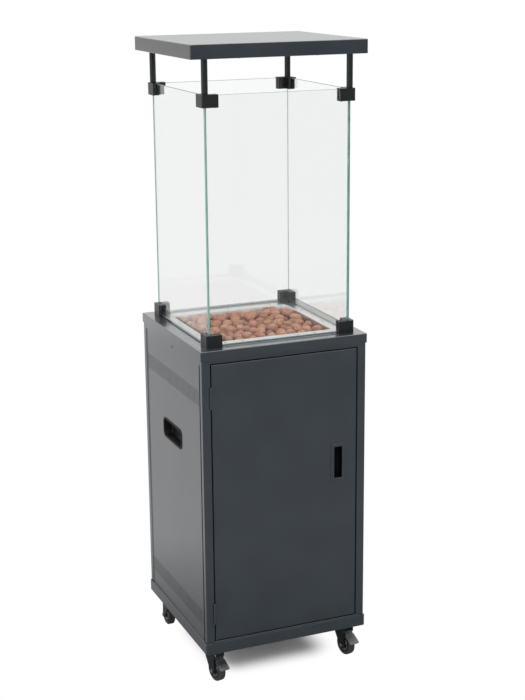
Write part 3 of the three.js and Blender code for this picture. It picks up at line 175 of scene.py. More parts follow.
sheet = bpy.data.meshes.new("studio_floor")
sheet.from_pydata(
    [(x * FLOOR_HALF, y * FLOOR_HALF, 0) for x, y in corners_of(-1, -1, 1, 1)], [], [(0, 1, 2, 3)]
)
floor = put("studio_floor", sheet)
floor_paint = bpy.data.materials.new("white_floor")
floor_paint.use_nodes = True
tree = floor_paint.node_tree
tree.nodes.clear()
place = add_node(tree, "ShaderNodeNewGeometry").outputs
reach = place["Position"]
for operation, second in (
    ("ABSOLUTE", {}),
    ("SUBTRACT", {1: (FLOOR_SHADED_HALF, FLOOR_SHADED_HALF, 0)}),
    ("MAXIMUM", {1: (0, 0, 0)}),
    ("LENGTH", {}),
):
    step = add_node(tree, "ShaderNodeVectorMath", {0: reach, **second}, operation=operation)
    reach = step.outputs["Value" if operation == "LENGTH" else "Vector"]
fade = map_range(tree, reach, 0.0, FLOOR_FADE_END, interpolation_type="SMOOTHERSTEP")
seen, in_gloss = seen_by(tree)
far_share = math_node(tree, "MULTIPLY", seen, fade)
far_share = math_node(tree, "MAXIMUM", far_share, in_gloss)
paper = add_node(tree, "ShaderNodeBsdfDiffuse", {"Color": FLOOR_WHITE})
floor_x, floor_y, _ = axes_of(tree, place["Position"])
seen_strength = gloss_strength(tree, in_gloss, *(
    (value, *side)
    for value, sides in ((reach, FLOOR_AROUND), (floor_x, FLOOR_LEFT), (floor_y, FLOOR_FRONT))
    for side in sides
))
glow = add_node(tree, "ShaderNodeEmission", {"Color": WHITE, "Strength": seen_strength})
surface = mix_shaders(tree, far_share, paper, glow)
open_below = add_node(tree, "ShaderNodeBsdfTransparent")
surface = mix_shaders(tree, place["Backfacing"], surface, open_below)
add_node(tree, "ShaderNodeOutputMaterial", {"Surface": surface.outputs[0]})
sheet.materials.append(floor_paint)

for name, place, size, watts in LAMPS:
    lamp_data = bpy.data.lights.new(name, "AREA")
    lamp_data.size = size
    lamp_data.energy = watts
    lamp = put(name, lamp_data)
    lamp.location = place
    lamp.rotation_euler = (LAMP_AIM - Vector(place)).to_track_quat("-Z", "Y").to_euler()
    lamp.visible_camera = False
    lamp.visible_transmission = False

# The base is a shallow pan of powder-coated steel sheet. Its upturned walls are the plinth, and
# the cabinet stands in it. The same satin anthracite coat covers all of the cabinet's sheets.
MM = 0.001
SHEET = 1.5
RIM = 200.5
PLINTH_BOTTOM, PLINTH_TOP = 84, 112
HEM_INNER, HEM_OUTER, HEM_FRONT, HEM_BACK = 196.5, 199.4, -185.7, 183.7
HEM_BOTTOM, HEM_TOP = PLINTH_TOP - 1.5, PLINTH_TOP - 0.1
FOLD_STEPS = 4
PAN_FLOOR = 12
NOISE_LOW, NOISE_HIGH = 0.24, 0.76
# The sharpness of the paler edge band, which is partly wear and partly a painted highlight.
WEAR_AND_HIGHLIGHT_SHARPNESS = 5.0


def make_group(name, inputs, outputs):
    """An empty shader group with named sockets, its inputs to read and its end node."""
    tree = bpy.data.node_groups.new(name, "ShaderNodeTree")
    for socket_name, value in inputs:
        kind = "NodeSocketVector" if isinstance(value, tuple) else "NodeSocketFloat"
        socket = tree.interface.new_socket(socket_name, in_out="INPUT", socket_type=kind)
        socket.default_value = value
    for socket_name in outputs:
        tree.interface.new_socket(socket_name, in_out="OUTPUT", socket_type="NodeSocketFloat")
    return tree, add_node(tree, "NodeGroupInput").outputs, add_node(tree, "NodeGroupOutput")


grain_group, given, end = make_group(
    "surface_grain",
    (("Grains per Metre", 900.0), ("Clouds per Metre", 14.0), ("Stretch", (1.0, 1.0, 1.0))),
    ("Grain", "Cloud"),
)
place = add_node(grain_group, "ShaderNodeTexCoord").outputs["Object"]
stretched = add_node(
    grain_group, "ShaderNodeVectorMath", {0: place, 1: given["Stretch"]}, operation="MULTIPLY"
)
for result, detail in (("Grain", 3.0), ("Cloud", 4.0)):
    noise = add_node(grain_group, "ShaderNodeTexNoise", {
        "Vector": stretched.outputs[0], "Scale": given[f"{result}s per Metre"], "Detail": detail,
    })
    grain_group.links.new(noise.outputs["Fac"], end.inputs[result])

# Paler edges: partly wear in noise patches and partly a painted highlight along the edges and
# folds.
wear_and_highlight_group, given, end = make_group(
    "edge_wear", (("Radius", 0.0012), ("Patches per Metre", 60.0), ("Amount", 0.5)), ("Edge",)
)
bevel = add_node(wear_and_highlight_group, "ShaderNodeBevel", {"Radius": given["Radius"]}, samples=4)
plain = add_node(wear_and_highlight_group, "ShaderNodeNewGeometry")
turn = add_node(
    wear_and_highlight_group, "ShaderNodeVectorMath",
    {0: bevel.outputs["Normal"], 1: plain.outputs["Normal"]}, operation="DOT_PRODUCT",
)
place = add_node(wear_and_highlight_group, "ShaderNodeTexCoord").outputs["Object"]
noise = add_node(
    wear_and_highlight_group, "ShaderNodeTexNoise", {"Vector": place, "Scale": given["Patches per Metre"]}
)
patch = map_range(wear_and_highlight_group, noise.outputs["Fac"], 0.35, 0.65)
edge = math_node(wear_and_highlight_group, "SUBTRACT", 1.0, turn.outputs["Value"])
for operation, value in (
    ("MULTIPLY", WEAR_AND_HIGHLIGHT_SHARPNESS), ("MINIMUM", 1.0), ("MULTIPLY", patch),
    ("MULTIPLY", given["Amount"]),
):
    edge = math_node(wear_and_highlight_group, operation, edge, value)
wear_and_highlight_group.links.new(edge, end.inputs["Edge"])


def finish_of(name, **plain):
    """A material whose Principled shader takes the given plain values."""
    material = bpy.data.materials.new(name)
    material.use_nodes = True
    shader = material.node_tree.nodes["Principled BSDF"]
    for socket, value in plain.items():
        shader.inputs[socket.replace("_", " ")].default_value = value
    return material


def add_group(material, group, **values):
    """A group placed in a material with its own values."""
    inputs = {name.replace("_", " "): value for name, value in values.items()}
    return add_node(material.node_tree, "ShaderNodeGroup", inputs, node_tree=group).outputs


def two_colours(material, share, first, second):
    """A mix of two colours, each a colour or a socket, by a share from 0 to 1."""
    return add_node(
        material.node_tree, "ShaderNodeMix", {0: share, 6: first, 7: second}, data_type="RGBA"
    ).outputs[2]


def spread(material, value, low, high):
    """A noise value laid out evenly between low and high."""
    return map_range(
        material.node_tree, value, NOISE_LOW, NOISE_HIGH, low, high,
        interpolation_type="SMOOTHSTEP",
    )


def connect(material, roughness, colour=None, height=None, depth=0.0):
    """Joins the given sockets to the Principled shader of a material."""
    tree = material.node_tree
    shader = tree.nodes["Principled BSDF"].inputs
    tree.links.new(roughness, shader["Roughness"])
    if colour is not None:
        tree.links.new(colour, shader["Base Color"])
    if height is not None:
        bump = add_node(
            tree, "ShaderNodeBump", {"Strength": 1.0, "Distance": depth, "Height": height}
        )
        tree.links.new(bump.outputs["Normal"], shader["Normal"])
    return material


def clouded(name, dark, light, roughness, grains, clouds, depth, edge=None, **plain):
    """A fine grain and faint clouds of colour and gloss, with paler edges where asked: partly wear
    and partly a painted highlight.
    """
    material = finish_of(name, **plain)
    surface = add_group(material, grain_group, Grains_per_Metre=grains, Clouds_per_Metre=clouds)
    colour = two_colours(material, spread(material, surface["Cloud"], 0.0, 1.0), dark, light)
    # The paler edge colour is partly wear and partly a painted highlight.
    if edge:
        colour = two_colours(material, add_group(material, wear_and_highlight_group)["Edge"], colour, edge)
    roughness = spread(material, surface["Cloud"], *roughness)
    return connect(material, roughness, colour, surface["Grain"], depth)


# The coat's paler edge colour is partly wear and partly a painted highlight.
anthracite = clouded(
    "anthracite_coat", dark=(0.0165, 0.024, 0.0315, 1), light=(0.021, 0.030, 0.0385, 1),
    edge=(0.055, 0.064, 0.068, 1), roughness=(0.28, 0.33), grains=900.0, clouds=11.0,
    depth=0.00001, Specular_IOR_Level=0.7, Coat_Weight=0.9, Coat_Roughness=0.14, Coat_IOR=1.65,
)


draft = bmesh.new()


def flat(u, v, w):
    """The plan: u to the right, v to the back, w up."""
    return (u, v, w)


def shrunk(rect, by):
    u0, u1, v0, v1 = rect
    return (u0 + by, u1 - by, v0 + by, v1 - by)


def rounded_ring(rect, corner, steps=5):
    """The points of a rounded rectangle, the same number whatever its size."""
    u0, u1, v0, v1 = rect
    corner = min(max(corner, 0.02), (u1 - u0) / 2, (v1 - v0) / 2)
    ring = []
    for u, v, start in (
        (u1 - corner, v0 + corner, -90),
        (u1 - corner, v1 - corner, 0),
        (u0 + corner, v1 - corner, 90),
        (u0 + corner, v0 + corner, 180),
    ):
        for step in range(steps + 1):
            turn = math.radians(start + 90 * step / steps)
            ring.append((u + corner * math.cos(turn), v + corner * math.sin(turn)))
    return ring


def toward(start, end):
    """The unit step from one station of a section to the next, by real distance."""
    change = [e - s for s, e in zip(start, end)]
    length = math.hypot(max(abs(c) for c in change[:4]), change[5])
    return [c / length for c in change]


def with_folds(stations, closed):
    """A sheet's section, each station (rect, corner, height, fold), with its folds rounded."""
    points = [(*rect, corner, height, fold) for rect, corner, height, fold in stations]
    path = []
    for i, point in enumerate(points):
        here, fold = point[:6], point[6]
        if not fold or (not closed and i in (0, len(points) - 1)):
            path.append(here)
            continue
        back = toward(here, points[i - 1][:6])
        on = toward(here, points[(i + 1) % len(points)][:6])
        for step in range(FOLD_STEPS + 1):
            turn = math.radians(90 * step / FOLD_STEPS)
            near, far = fold * (1 - math.sin(turn)), fold * (1 - math.cos(turn))
            path.append(tuple(h + near * b + far * o for h, b, o in zip(here, back, on)))
    return path


def add_rings(rings, closed=False, finish=0):
    """Skins rings of points, in millimetres. A ring of one is a pole, and open ends are capped."""
    rows = [[draft.verts.new(point) for point in ring] for ring in rings]
    made = []
    pairs = list(zip(rows, rows[1:]))
    if closed:
        pairs.append((rows[-1], rows[0]))
    for first, second in pairs:
        count = max(len(first), len(second))
        for i in range(count):
            j = (i + 1) % count
            if len(first) == 1:
                made.append(draft.faces.new((first[0], second[j], second[i])))
            elif len(second) == 1:
                made.append(draft.faces.new((first[i], first[j], second[0])))
            else:
                made.append(draft.faces.new((first[i], first[j], second[j], second[i])))
    if not closed:
        for row in (rows[0], rows[-1]):
            if len(row) > 2:
                made.append(draft.faces.new(row))
    for face in made:
        face.material_index = finish
    return made


def add_sheet(stations, place, closed=True, steps=5):
    """Folded sheet: a section carried round a rounded rectangle."""
    rings = [
        [place(u, v, height) for u, v in rounded_ring((u0, u1, v0, v1), corner, steps)]
        for u0, u1, v0, v1, corner, height in with_folds(stations, closed)
    ]
    add_rings(rings, closed)


def add_pan(rect, face, brim, corner, inner, folds, place, steps=5):
    """A folded pan: a face, walls to the brim, and a face that stays open in the middle."""
    inside = face + math.copysign(SHEET, brim - face)
    middle, walls = shrunk(rect, PAN_FLOOR), shrunk(rect, SHEET)
    outer_fold, brim_fold, inner_fold = folds
    add_sheet((
        (middle, corner, face, 0),
        (rect, corner, face, outer_fold),
        (rect, corner, brim, brim_fold),
        (walls, inner, brim, brim_fold),
        (walls, inner, inside, inner_fold),
        (middle, corner, inside, 0),
    ), place, closed=False, steps=steps)


def drawn_mesh(name):
    """The draft as a mesh in metres, with its faces turned outward. It leaves the draft empty."""
    bmesh.ops.recalc_face_normals(draft, faces=draft.faces)
    mesh = bpy.data.meshes.new(name)
    draft.to_mesh(mesh)
    draft.clear()
    mesh.transform(Matrix.Scale(MM, 4))
    return mesh


def smooth(mesh, sharp=32):
    mesh.shade_smooth()
    mesh.set_sharp_from_angle(angle=math.radians(sharp))


def carry(piece, body, slot, *stands_for):
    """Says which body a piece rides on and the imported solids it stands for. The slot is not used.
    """
    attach(piece, body)
    if stands_for:
        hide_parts(*stands_for)
    return piece


def show(name, finishes, body, slot, *stands_for, sharp=32):
    """Turns the draft into a piece of the heater that rides on a body."""
    mesh = drawn_mesh(name)
    for finish in finishes:
        mesh.materials.append(finish)
    smooth(mesh, sharp)
    piece = put(name, mesh)
    piece.modifiers.new("even_shading", "WEIGHTED_NORMAL").keep_sharp = True
    return carry(piece, body, slot, *stands_for)


rim = (-RIM, RIM, -RIM, RIM)
add_pan(rim, PLINTH_BOTTOM, PLINTH_TOP, 3, 1.5, (2.4, 0.6, 0.9), flat)
for side in (-1, 1):
    hem = corners_of(side * HEM_OUTER, HEM_BOTTOM, side * HEM_INNER, HEM_TOP)
    add_rings([[(x, y, z) for x, z in hem] for y in (HEM_FRONT, HEM_BACK)])
show("base_tray_plinth", [anthracite], "cabinet", "anthracite", "base_pan")

# Four twin-fork swivel casters carry the base: zinc-plated top plates with their bearing races,
# black forks, rubber-tyred wheels with bright centre rings, axles closed by hexagon nuts, and
# bent brake pedals of dull plated sheet on the front pair, which stands turned to the right.
SLAB_BORDER = 3
CASTER_X, CASTER_Y = 166, 146
CASTER_TRAIL = 18
FRONT_SWIVEL = math.radians(12)
WHEEL_RADIUS = 26
PLATE_TOP, PLATE_BOTTOM, RACE_BOTTOM = 83.7, 81.2, 75.2
CROWN_TOP, CROWN_BOTTOM = 74.9, 68.9
FORK_INNER, FORK_OUTER = 11, 13.5
PEDAL_AHEAD, PEDAL_Z = 25.5, 60
PEDAL_KNEE = 13
PEDAL_STEEP, PEDAL_EASY = math.radians(46), math.radians(33)
CORNERS = {
    "front_left": (-1, -1),
    "front_right": (1, -1),
    "back_right": (1, 1),
    "back_left": (-1, 1),
}

# Its paler edge colour is partly wear and partly a painted highlight.
black_paint = clouded(
    "black_paint", dark=(0.008, 0.0115, 0.0125, 1), light=(0.012, 0.0165, 0.018, 1),
    edge=(0.05, 0.053, 0.056, 1), roughness=(0.3, 0.38), grains=1200.0, clouds=11.0,
    depth=0.00001,
)
zinc = clouded(
    "zinc_plate", dark=(0.42, 0.43, 0.44, 1), light=(0.62, 0.63, 0.64, 1),
    roughness=(0.3, 0.42), grains=1600.0, clouds=160.0, depth=0.00002, Metallic=1.0,
)
dull_zinc = clouded(
    "dull_zinc_plate", dark=(0.15, 0.152, 0.155, 1), light=(0.21, 0.212, 0.215, 1),
    roughness=(0.42, 0.55), grains=900.0, clouds=90.0, depth=0.00005, Metallic=1.0,
)
rubber = clouded(
    "tyre_rubber", dark=(0.028, 0.028, 0.029, 1), light=(0.042, 0.042, 0.043, 1),
    roughness=(0.42, 0.55), grains=2200.0, clouds=90.0, depth=0.00006, Specular_IOR_Level=0.45,
)


def rounded_outline(points, steps=4):
    """A polygon of (u, v, radius) points with each corner rounded, whatever its angle."""
    outline = []
    for i, (u, v, radius) in enumerate(points):
        here = Vector((u, v))
        if not radius:
            outline.append(tuple(here))
            continue
        back = (Vector(points[i - 1][:2]) - here).normalized()
        on = (Vector(points[(i + 1) % len(points)][:2]) - here).normalized()
        half = back.angle(on) / 2
        middle = here + (back + on).normalized() * (radius / math.sin(half))
        start = (here + back * (radius / math.tan(half)) - middle).normalized()
        end = (here + on * (radius / math.tan(half)) - middle).normalized()
        for step in range(steps + 1):
            outline.append(tuple(middle + start.slerp(end, step / steps) * radius))
    return outline


def rectangle(u0, v0, u1, v1, low, high=None):
    """A rounded rectangle's outline, with the radius of its lower and its upper corners."""
    high = low if high is None else high
    places = corners_of(u0, v0, u1, v1)
    return rounded_outline([(*at, r) for at, r in zip(places, (low, low, high, high))])


def turns(count):
    """Even angles round a full turn."""
    return [2 * math.pi * i / count for i in range(count)]


def add_slab(rect, corner, low, high, fold, inner=3):
    """A flat plate in the plan with rounded edges."""
    middle = shrunk(rect, SLAB_BORDER)
    add_sheet((
        (middle, inner, low, 0), (rect, corner, low, fold),
        (rect, corner, high, fold), (middle, inner, high, 0),
    ), flat, closed=False)


def upright(x, y, z=0):
    """Where a turned section's points go: about an upright axis."""
    return lambda u, v, w: (x + u, y + v, z + w)


def add_turned(section, place, sides=40, closed=False, finish=0):
    """A turned piece: (radius, height, rounding) points, a closed ring or filled to the axis."""
    if not closed:
        start, end = section[0], section[-1]
        section = (
            ([(0, start[1], 0)] if start[0] else []) + list(section)
            + ([(0, end[1], 0)] if end[0] else [])
        )
    rings = [
        [place(radius * math.cos(t), radius * math.sin(t), height) for t in turns(sides)]
        if radius > 1e-6 else [place(0, 0, height)]
        for radius, height in rounded_outline(section, 3)
    ]
    add_rings(rings, closed, finish)


def add_plate(outline, low, high, place, edge=0.4):
    """A flat plate of any outline with slightly rounded edges."""
    made = add_rings([[place(u, v, w) for u, v in outline] for w in (low, high)])
    if edge:
        border = {e for cap in made[-2:] for e in cap.edges}
        bmesh.ops.bevel(
            draft, geom=list(border), offset=edge, segments=2, profile=0.5, affect="EDGES",
            clamp_overlap=True, material=0,
        )


def both_ways(*half):
    """A section's points and their mirror image in its middle."""
    return (*half, *((radius, -height, rounding) for radius, height, rounding in half[::-1]))


def hexagon(radius, turn):
    return [(radius * math.cos(turn + t), radius * math.sin(turn + t)) for t in turns(6)]


def caster_frame(cx, cy, turn):
    """Where a caster's own points go: across the fork, back from the trailing wheel, and up."""
    cos, sin = math.cos(turn), math.sin(turn)
    return lambda x, y, z: (cx + x * cos - y * sin, cy + x * sin + y * cos, z)


def about_bolt(own, y, z):
    """Where a turned section's points go, about a bolt across a caster's fork."""
    return lambda u, v, w: own(w, y + u, z + v)


for corner, (sx, sy) in CORNERS.items():
    cx, cy = sx * CASTER_X, sy * CASTER_Y
    own = caster_frame(cx, cy, FRONT_SWIVEL if sy < 0 else math.pi)
    at_axle = about_bolt(own, -CASTER_TRAIL, WHEEL_RADIUS)

    square = (cx - 21, cx + 21, cy - 21, cy + 21)
    add_slab(square, 5, PLATE_BOTTOM, PLATE_TOP, 0.5)
    add_turned((
        (19, PLATE_BOTTOM + 0.8, 0), (19, RACE_BOTTOM + 2.2, 1.2), (15.5, RACE_BOTTOM, 1.2)
    ), upright(cx, cy))
    show(f"caster_top_{corner}", [zinc], "cabinet", "zinc", f"caster_plate_{corner}")

    add_turned((
        (14, CROWN_TOP, 0), (17, CROWN_TOP - 2.4, 1.4), (17, CROWN_BOTTOM, 0.6)
    ), upright(cx, cy))
    add_plate(
        rectangle(-FORK_OUTER, -22.2, FORK_OUTER, 15, 1),
        CROWN_BOTTOM - 2.5, CROWN_BOTTOM + 0.1, own, edge=0.5,
    )
    eye = [
        (-CASTER_TRAIL - 9 * math.cos(t), WHEEL_RADIUS + 9 * math.sin(t))
        for t in (math.radians(-16 - 148 * i / 12) for i in range(13))
    ]
    arm = rounded_outline(
        [(15, 60.9, 3), (15, CROWN_BOTTOM + 0.1, 0.5), (-29, CROWN_BOTTOM + 0.1, 1.5), (-29, 57, 4)]
    ) + eye
    for side in (-1, 1):
        add_plate(
            arm, side * FORK_INNER, side * FORK_OUTER, lambda u, v, w: own(w, u, v), edge=0.5
        )
    show(
        f"caster_arms_{corner}", [black_paint], f"swivel_{corner}", "black_paint",
        f"caster_fork_{corner}",
    )

    add_turned(both_ways((2.6, -16.9, 0.6), (3, -16, 0)), at_axle, sides=24)
    for side in (-1, 1):
        add_plate(
            hexagon(5.2, 0.3), side * (FORK_OUTER + 0.02), side * 16.6, at_axle, edge=0.45
        )
    show(f"caster_axle_{corner}", [zinc], f"swivel_{corner}", "zinc")

    add_turned(both_ways(
        (18.4, -6.6, 0.4), (19.2, -7.8, 0.8), (22, -9, 1.4), (WHEEL_RADIUS, -7, 3.2)
    ), at_axle, sides=64, closed=True)
    add_turned(both_ways(
        (3.3, -10.4, 0.4), (6.6, -10.4, 0.6), (7.2, -6.6, 0.8), (18.9, -6.8, 0.5)
    ), at_axle, sides=48, closed=True, finish=1)
    for side in (-1, 1):
        add_turned((
            (11.4, side * 6.3, 0.1), (11.7, side * 7.9, 0.5), (14.1, side * 7.9, 0.5),
            (14.4, side * 6.3, 0.1),
        ), at_axle, sides=48, closed=True, finish=2)
    show(
        f"caster_tyre_{corner}", [rubber, black_paint, zinc], f"wheel_{corner}", "tyre",
        f"caster_wheel_{corner}",
    )

    if sy < 0:
        rings = []
        for distance, half in (
            (0.0, 10.4), (7.6, 10.8), (10.2, 12.9), (12.0, 12.9), (14.0, 12.9), (34.0, 12.9),
            (35.9, 11.4),
        ):
            steep, easy = min(distance, PEDAL_KNEE), max(distance - PEDAL_KNEE, 0)
            slope = (PEDAL_STEEP + PEDAL_EASY) / 2
            slope = PEDAL_STEEP if distance < PEDAL_KNEE - 2 else slope
            slope = PEDAL_EASY if distance > PEDAL_KNEE + 2 else slope
            ahead = PEDAL_AHEAD + steep * math.cos(PEDAL_STEEP) + easy * math.cos(PEDAL_EASY)
            level = PEDAL_Z - steep * math.sin(PEDAL_STEEP) - easy * math.sin(PEDAL_EASY)
            rings.append([
                own(u, -ahead - w * math.sin(slope), level + w * math.cos(slope))
                for u, w in corners_of(-half, -0.9, half, 0.9)
            ])
        add_rings(rings)
        bmesh.ops.bevel(
            draft, geom=[e for e in draft.edges if e.calc_face_angle(0) > 1.0], offset=0.5,
            segments=2, profile=0.5, affect="EDGES", clamp_overlap=True,
        )
        add_turned(
            both_ways((1.8, -13.4, 0.3), (1.8, -10.6, 0), (3, -10.6, 0.4)),
            about_bolt(own, -PEDAL_AHEAD, PEDAL_Z), sides=24,
        )
        show(
            f"caster_pedal_{corner}", [dull_zinc], f"brake_{corner}", "zinc",
            f"caster_brake_{corner}",
        )

# The side panels are sheets with two bands of fine upright slots, a step to a flush top band and
# a rounded handle hole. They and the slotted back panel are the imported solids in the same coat.
# A soft ramp closes the step behind each side panel's rear edge.
SIDE_BOTTOM, SIDE_TOP = PLINTH_TOP + 0.5, 770.4


def dress(node_name, finish, edge=0.35):
    """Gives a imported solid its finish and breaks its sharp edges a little."""
    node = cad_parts[node_name]
    for holder in node.material_slots:
        holder.link = "OBJECT"
        holder.material = finish
    merged = node.modifiers.new("merged_faces", "WELD")
    merged.merge_threshold = 0.00001
    broken = node.modifiers.new("broken_edges", "BEVEL")
    broken.width = edge * MM
    broken.segments = 2
    broken.limit_method = "ANGLE"
    broken.angle_limit = math.radians(35)
    node.modifiers.new("even_shading", "WEIGHTED_NORMAL").keep_sharp = True


for panel in ("left_side_panel", "right_side_panel", "back_panel"):
    dress(panel, anthracite)
for side in (-1, 1):
    add_rings([[
        (side * 196.22, 179.5, z), (side * 196.3, 179.5, z), (side * 197.9, 183.95, z),
        (side * 196.22, 183.95, z),
    ] for z in (SIDE_BOTTOM, SIDE_TOP)])
show("side_panel_edge_ramps", [anthracite], "cabinet", "anthracite")

# Behind each handle hole sits a black moulded finger cup, pushed in from outside, with a thin
# rounded lip round the hole. The moulding has a fine spark-eroded grain.
CUP_BACK, LIP_BACK, LIP_FRONT = 174.2, 196.5, 197.5
hole = (-51, 71, 534, 578)


def moulded(name, dark, light, roughness, depth=0.00008, **plain):
    """Moulded plastic: an even spark-eroded grain over a near-plain colour."""
    return clouded(name, dark, light, roughness, 1500.0, 40.0, depth, **plain)


black_plastic = moulded(
    "black_plastic", dark=(0.006, 0.006, 0.0065, 1), light=(0.010, 0.010, 0.0105, 1),
    roughness=(0.48, 0.58), Specular_IOR_Level=0.3,
)
for side_name, side in (("left", -1), ("right", 1)):
    add_sheet((
        (shrunk(hole, 12), 6, CUP_BACK, 0),
        (shrunk(hole, 0.3), 11.7, CUP_BACK, 5),
        (shrunk(hole, 0.3), 11.7, LIP_BACK, 0.2),
        (shrunk(hole, -2.5), 14.5, LIP_BACK, 0.3),
        (shrunk(hole, -2.5), 14.5, LIP_FRONT, 0.6),
        (shrunk(hole, 2.3), 9.7, LIP_FRONT, 1.2),
        (shrunk(hole, 2.3), 9.7, CUP_BACK + 2, 4),
        (shrunk(hole, 12), 6, CUP_BACK + 2, 0),
    ), lambda u, v, w: (side * w, u, v), closed=False, steps=8)
    show(
        f"{side_name}_finger_cup", [black_plastic], "cabinet", "black_plastic",
        f"{side_name}_handle_cup",
    )

# A thin near-black strip sits in the joint between each side panel and the front frame. It is
# painted shade: it shows the shadow in the joint as a fine dark line down the side.
matt_black = moulded(
    "matt_black", dark=(0.0015, 0.0017, 0.002, 1), light=(0.003, 0.0033, 0.0036, 1),
    roughness=(0.6, 0.75), Specular_IOR_Level=0.12,
)
for side in (-1, 1):
    add_plate(rounded_outline((
        (side * 196.25, -183, 0.1), (side * 196.25, -176.6, 0.1), (side * 196.7, -176.6, 0.2),
        (side * 196.7, -183, 0.2),
    )), SIDE_BOTTOM, SIDE_TOP, flat, edge=0)
show("side_joint_tapes", [matt_black], "cabinet", "black_plastic")

# The front frame is one folded sheet round the doorway, returned at the corners and the jambs.
# It is notched where the barrels of the hinges stand.
FRONT = -198
FRAME_RECT = (-198, 198, 85.8, 800.2)
DOORWAY = (-178.25, 178.25, 114.75, 772.25)
HINGE_X, HINGE_Y = -178.25, -199.5
HINGE_HEIGHTS = {"lower": 184, "upper": 695}
NOTCH_MARGIN, NOTCH_FRONT, NOTCH_HALF = 3.3, -205, 25.3


def facing_front(u, v, w):
    """The front: u to the right, v up, w to the back."""
    return (u, w, v)


def cut_out(piece):
    """Takes the closed shape in the draft out of a piece's mesh."""
    cutter = put("cutter", drawn_mesh("cutter"))
    cut = piece.modifiers.new("cut", "BOOLEAN")
    cut.operation = "DIFFERENCE"
    cut.solver = "EXACT"
    cut.object = cutter
    even = piece.modifiers["even_shading"]
    even.show_viewport = False
    graph = bpy.context.evaluated_depsgraph_get()
    result = bpy.data.meshes.new_from_object(piece.evaluated_get(graph))
    even.show_viewport = True
    piece.modifiers.remove(cut)
    result.name = piece.data.name + "_cut"
    smooth(result)
    spent = (piece.data, cutter.data)
    piece.data = result
    bpy.data.objects.remove(cutter)
    for mesh in spent:
        bpy.data.meshes.remove(mesh)


def notch(piece):
    """Cuts the two notches for the hinge barrels out of a folded sheet."""
    plan = corners_of(
        HINGE_X - NOTCH_MARGIN, NOTCH_FRONT, HINGE_X + NOTCH_MARGIN, HINGE_Y + NOTCH_MARGIN
    )
    for middle in HINGE_HEIGHTS.values():
        add_rings([
            [(x, y, z) for x, y in plan] for z in (middle - NOTCH_HALF, middle + NOTCH_HALF)
        ])
        cut_out(piece)


add_sheet((
    (FRAME_RECT, 0.8, FRONT + 12, 0.5),
    (FRAME_RECT, 0.8, FRONT, 2.2),
    (DOORWAY, 0.8, FRONT, 1.6),
    (DOORWAY, 0.8, FRONT + 22, 0.5),
    (shrunk(DOORWAY, -SHEET), 1.5, FRONT + 22, 0.5),
    (shrunk(DOORWAY, -SHEET), 1.5, FRONT + SHEET, 0.4),
    (shrunk(FRAME_RECT, SHEET), 0.5, FRONT + SHEET, 0.9),
    (shrunk(FRAME_RECT, SHEET), 0.5, FRONT + 12, 0.5),
), facing_front, steps=2)
front_frame = show("door_frame", [anthracite], "cabinet", "anthracite", "front_frame")
notch(front_frame)

# Two lift-off barrel hinges stand in the door's gap. The lower half of each is welded to the
# frame and carries the pin, and the upper half is welded to the door.
HINGE_HALVES = (
    ("pin", "frame", "cabinet",
     ((3, -25, 0.5), (3, -0.15, 0.3), (1.5, -0.15, 0), (1.5, 18, 0.5))),
    ("door", "door", "door",
     ((3, 25, 0.5), (3, 0.15, 0.3), (1.8, 0.15, 0.2), (1.8, 18.3, 0))),
)
for name, middle in HINGE_HEIGHTS.items():
    for half, side, body, section in HINGE_HALVES:
        add_turned(section, upright(HINGE_X, HINGE_Y, middle), sides=28)
        show(
            f"{name}_hinge_{half}_half", [anthracite], body, "anthracite",
            f"{name}_hinge_{side}_barrel",
        )

# The door is a folded pan that closes flush with the frame. It is open at the back and has a
# hole for its flush pull.
DOOR_RECT = (-175.75, 175.75, 117.25, 769.75)
DOOR_BACK = FRONT + 18
PULL_SLOT = (120, 139.5, 467, 542)
add_pan(DOOR_RECT, FRONT, DOOR_BACK, 1, 0.5, (2, 0.5, 0.6), facing_front, steps=2)
door = show("door_leaf", [anthracite], "door", "anthracite", "door_panel")
notch(door)
add_rings([
    [(u, y, v) for u, v in rounded_ring(shrunk(PULL_SLOT, -1.8), 1.5)] for y in (-202, -190)
])
cut_out(door)

# The pull is a thin plate on the door's face with a finger cup behind its upright slot. The cup
# is painted near black inside: painted shade in the pocket.
PULL_PLATE = (112, 143.5, 459, 550)
add_sheet((
    (shrunk(PULL_SLOT, 6), 1, FRONT + 15, 0),
    (shrunk(PULL_SLOT, -1.5), 2.5, FRONT + 15, 2),
    (shrunk(PULL_SLOT, -1.5), 2.5, FRONT - 0.3, 0.1),
    (PULL_PLATE, 1.5, FRONT - 0.3, 0.2),
    (PULL_PLATE, 1.5, FRONT - 1.5, 0.6),
    (PULL_SLOT, 1.2, FRONT - 1.5, 0.6),
    (PULL_SLOT, 1.2, FRONT + 13.5, 1.5),
    (shrunk(PULL_SLOT, 6), 1, FRONT + 13.5, 0),
), facing_front, closed=False)
# The faces inside the slot take the near-black painted shade of the pocket.
for face in draft.faces:
    middle = face.calc_center_median()
    inside = PULL_SLOT[0] - 0.1 < middle.x < PULL_SLOT[1] + 0.1
    if inside and PULL_SLOT[2] - 0.1 < middle.z < PULL_SLOT[3] + 0.1 and middle.y > FRONT - 0.6:
        face.material_index = 1
show("door_finger_pull", [anthracite, matt_black], "door", "anthracite", "door_pull")

# A magnet catch is riveted inside the right jamb. Its black case holds two steel pole strips
# that the door's edge closes against.
dress("magnet_catch", black_plastic, edge=0.8)
for x in (166.6, 172.2):
    add_plate(rectangle(x, 418, x + 1.4, 450, 0.3), -179.9, -175, facing_front, edge=0.2)
show("catch_pole_strips", [zinc], "cabinet", "zinc")

# Behind the door a zinc-plated panel crosses the cabinet. It carries the brass gas valve with its
# knob and barbed hose inlet on the left, and the piezo igniter with its button on the right.
PANEL_FRONT, CONTROL_Z = -140, 703
KNOB_X, BUTTON_X = -50, 50


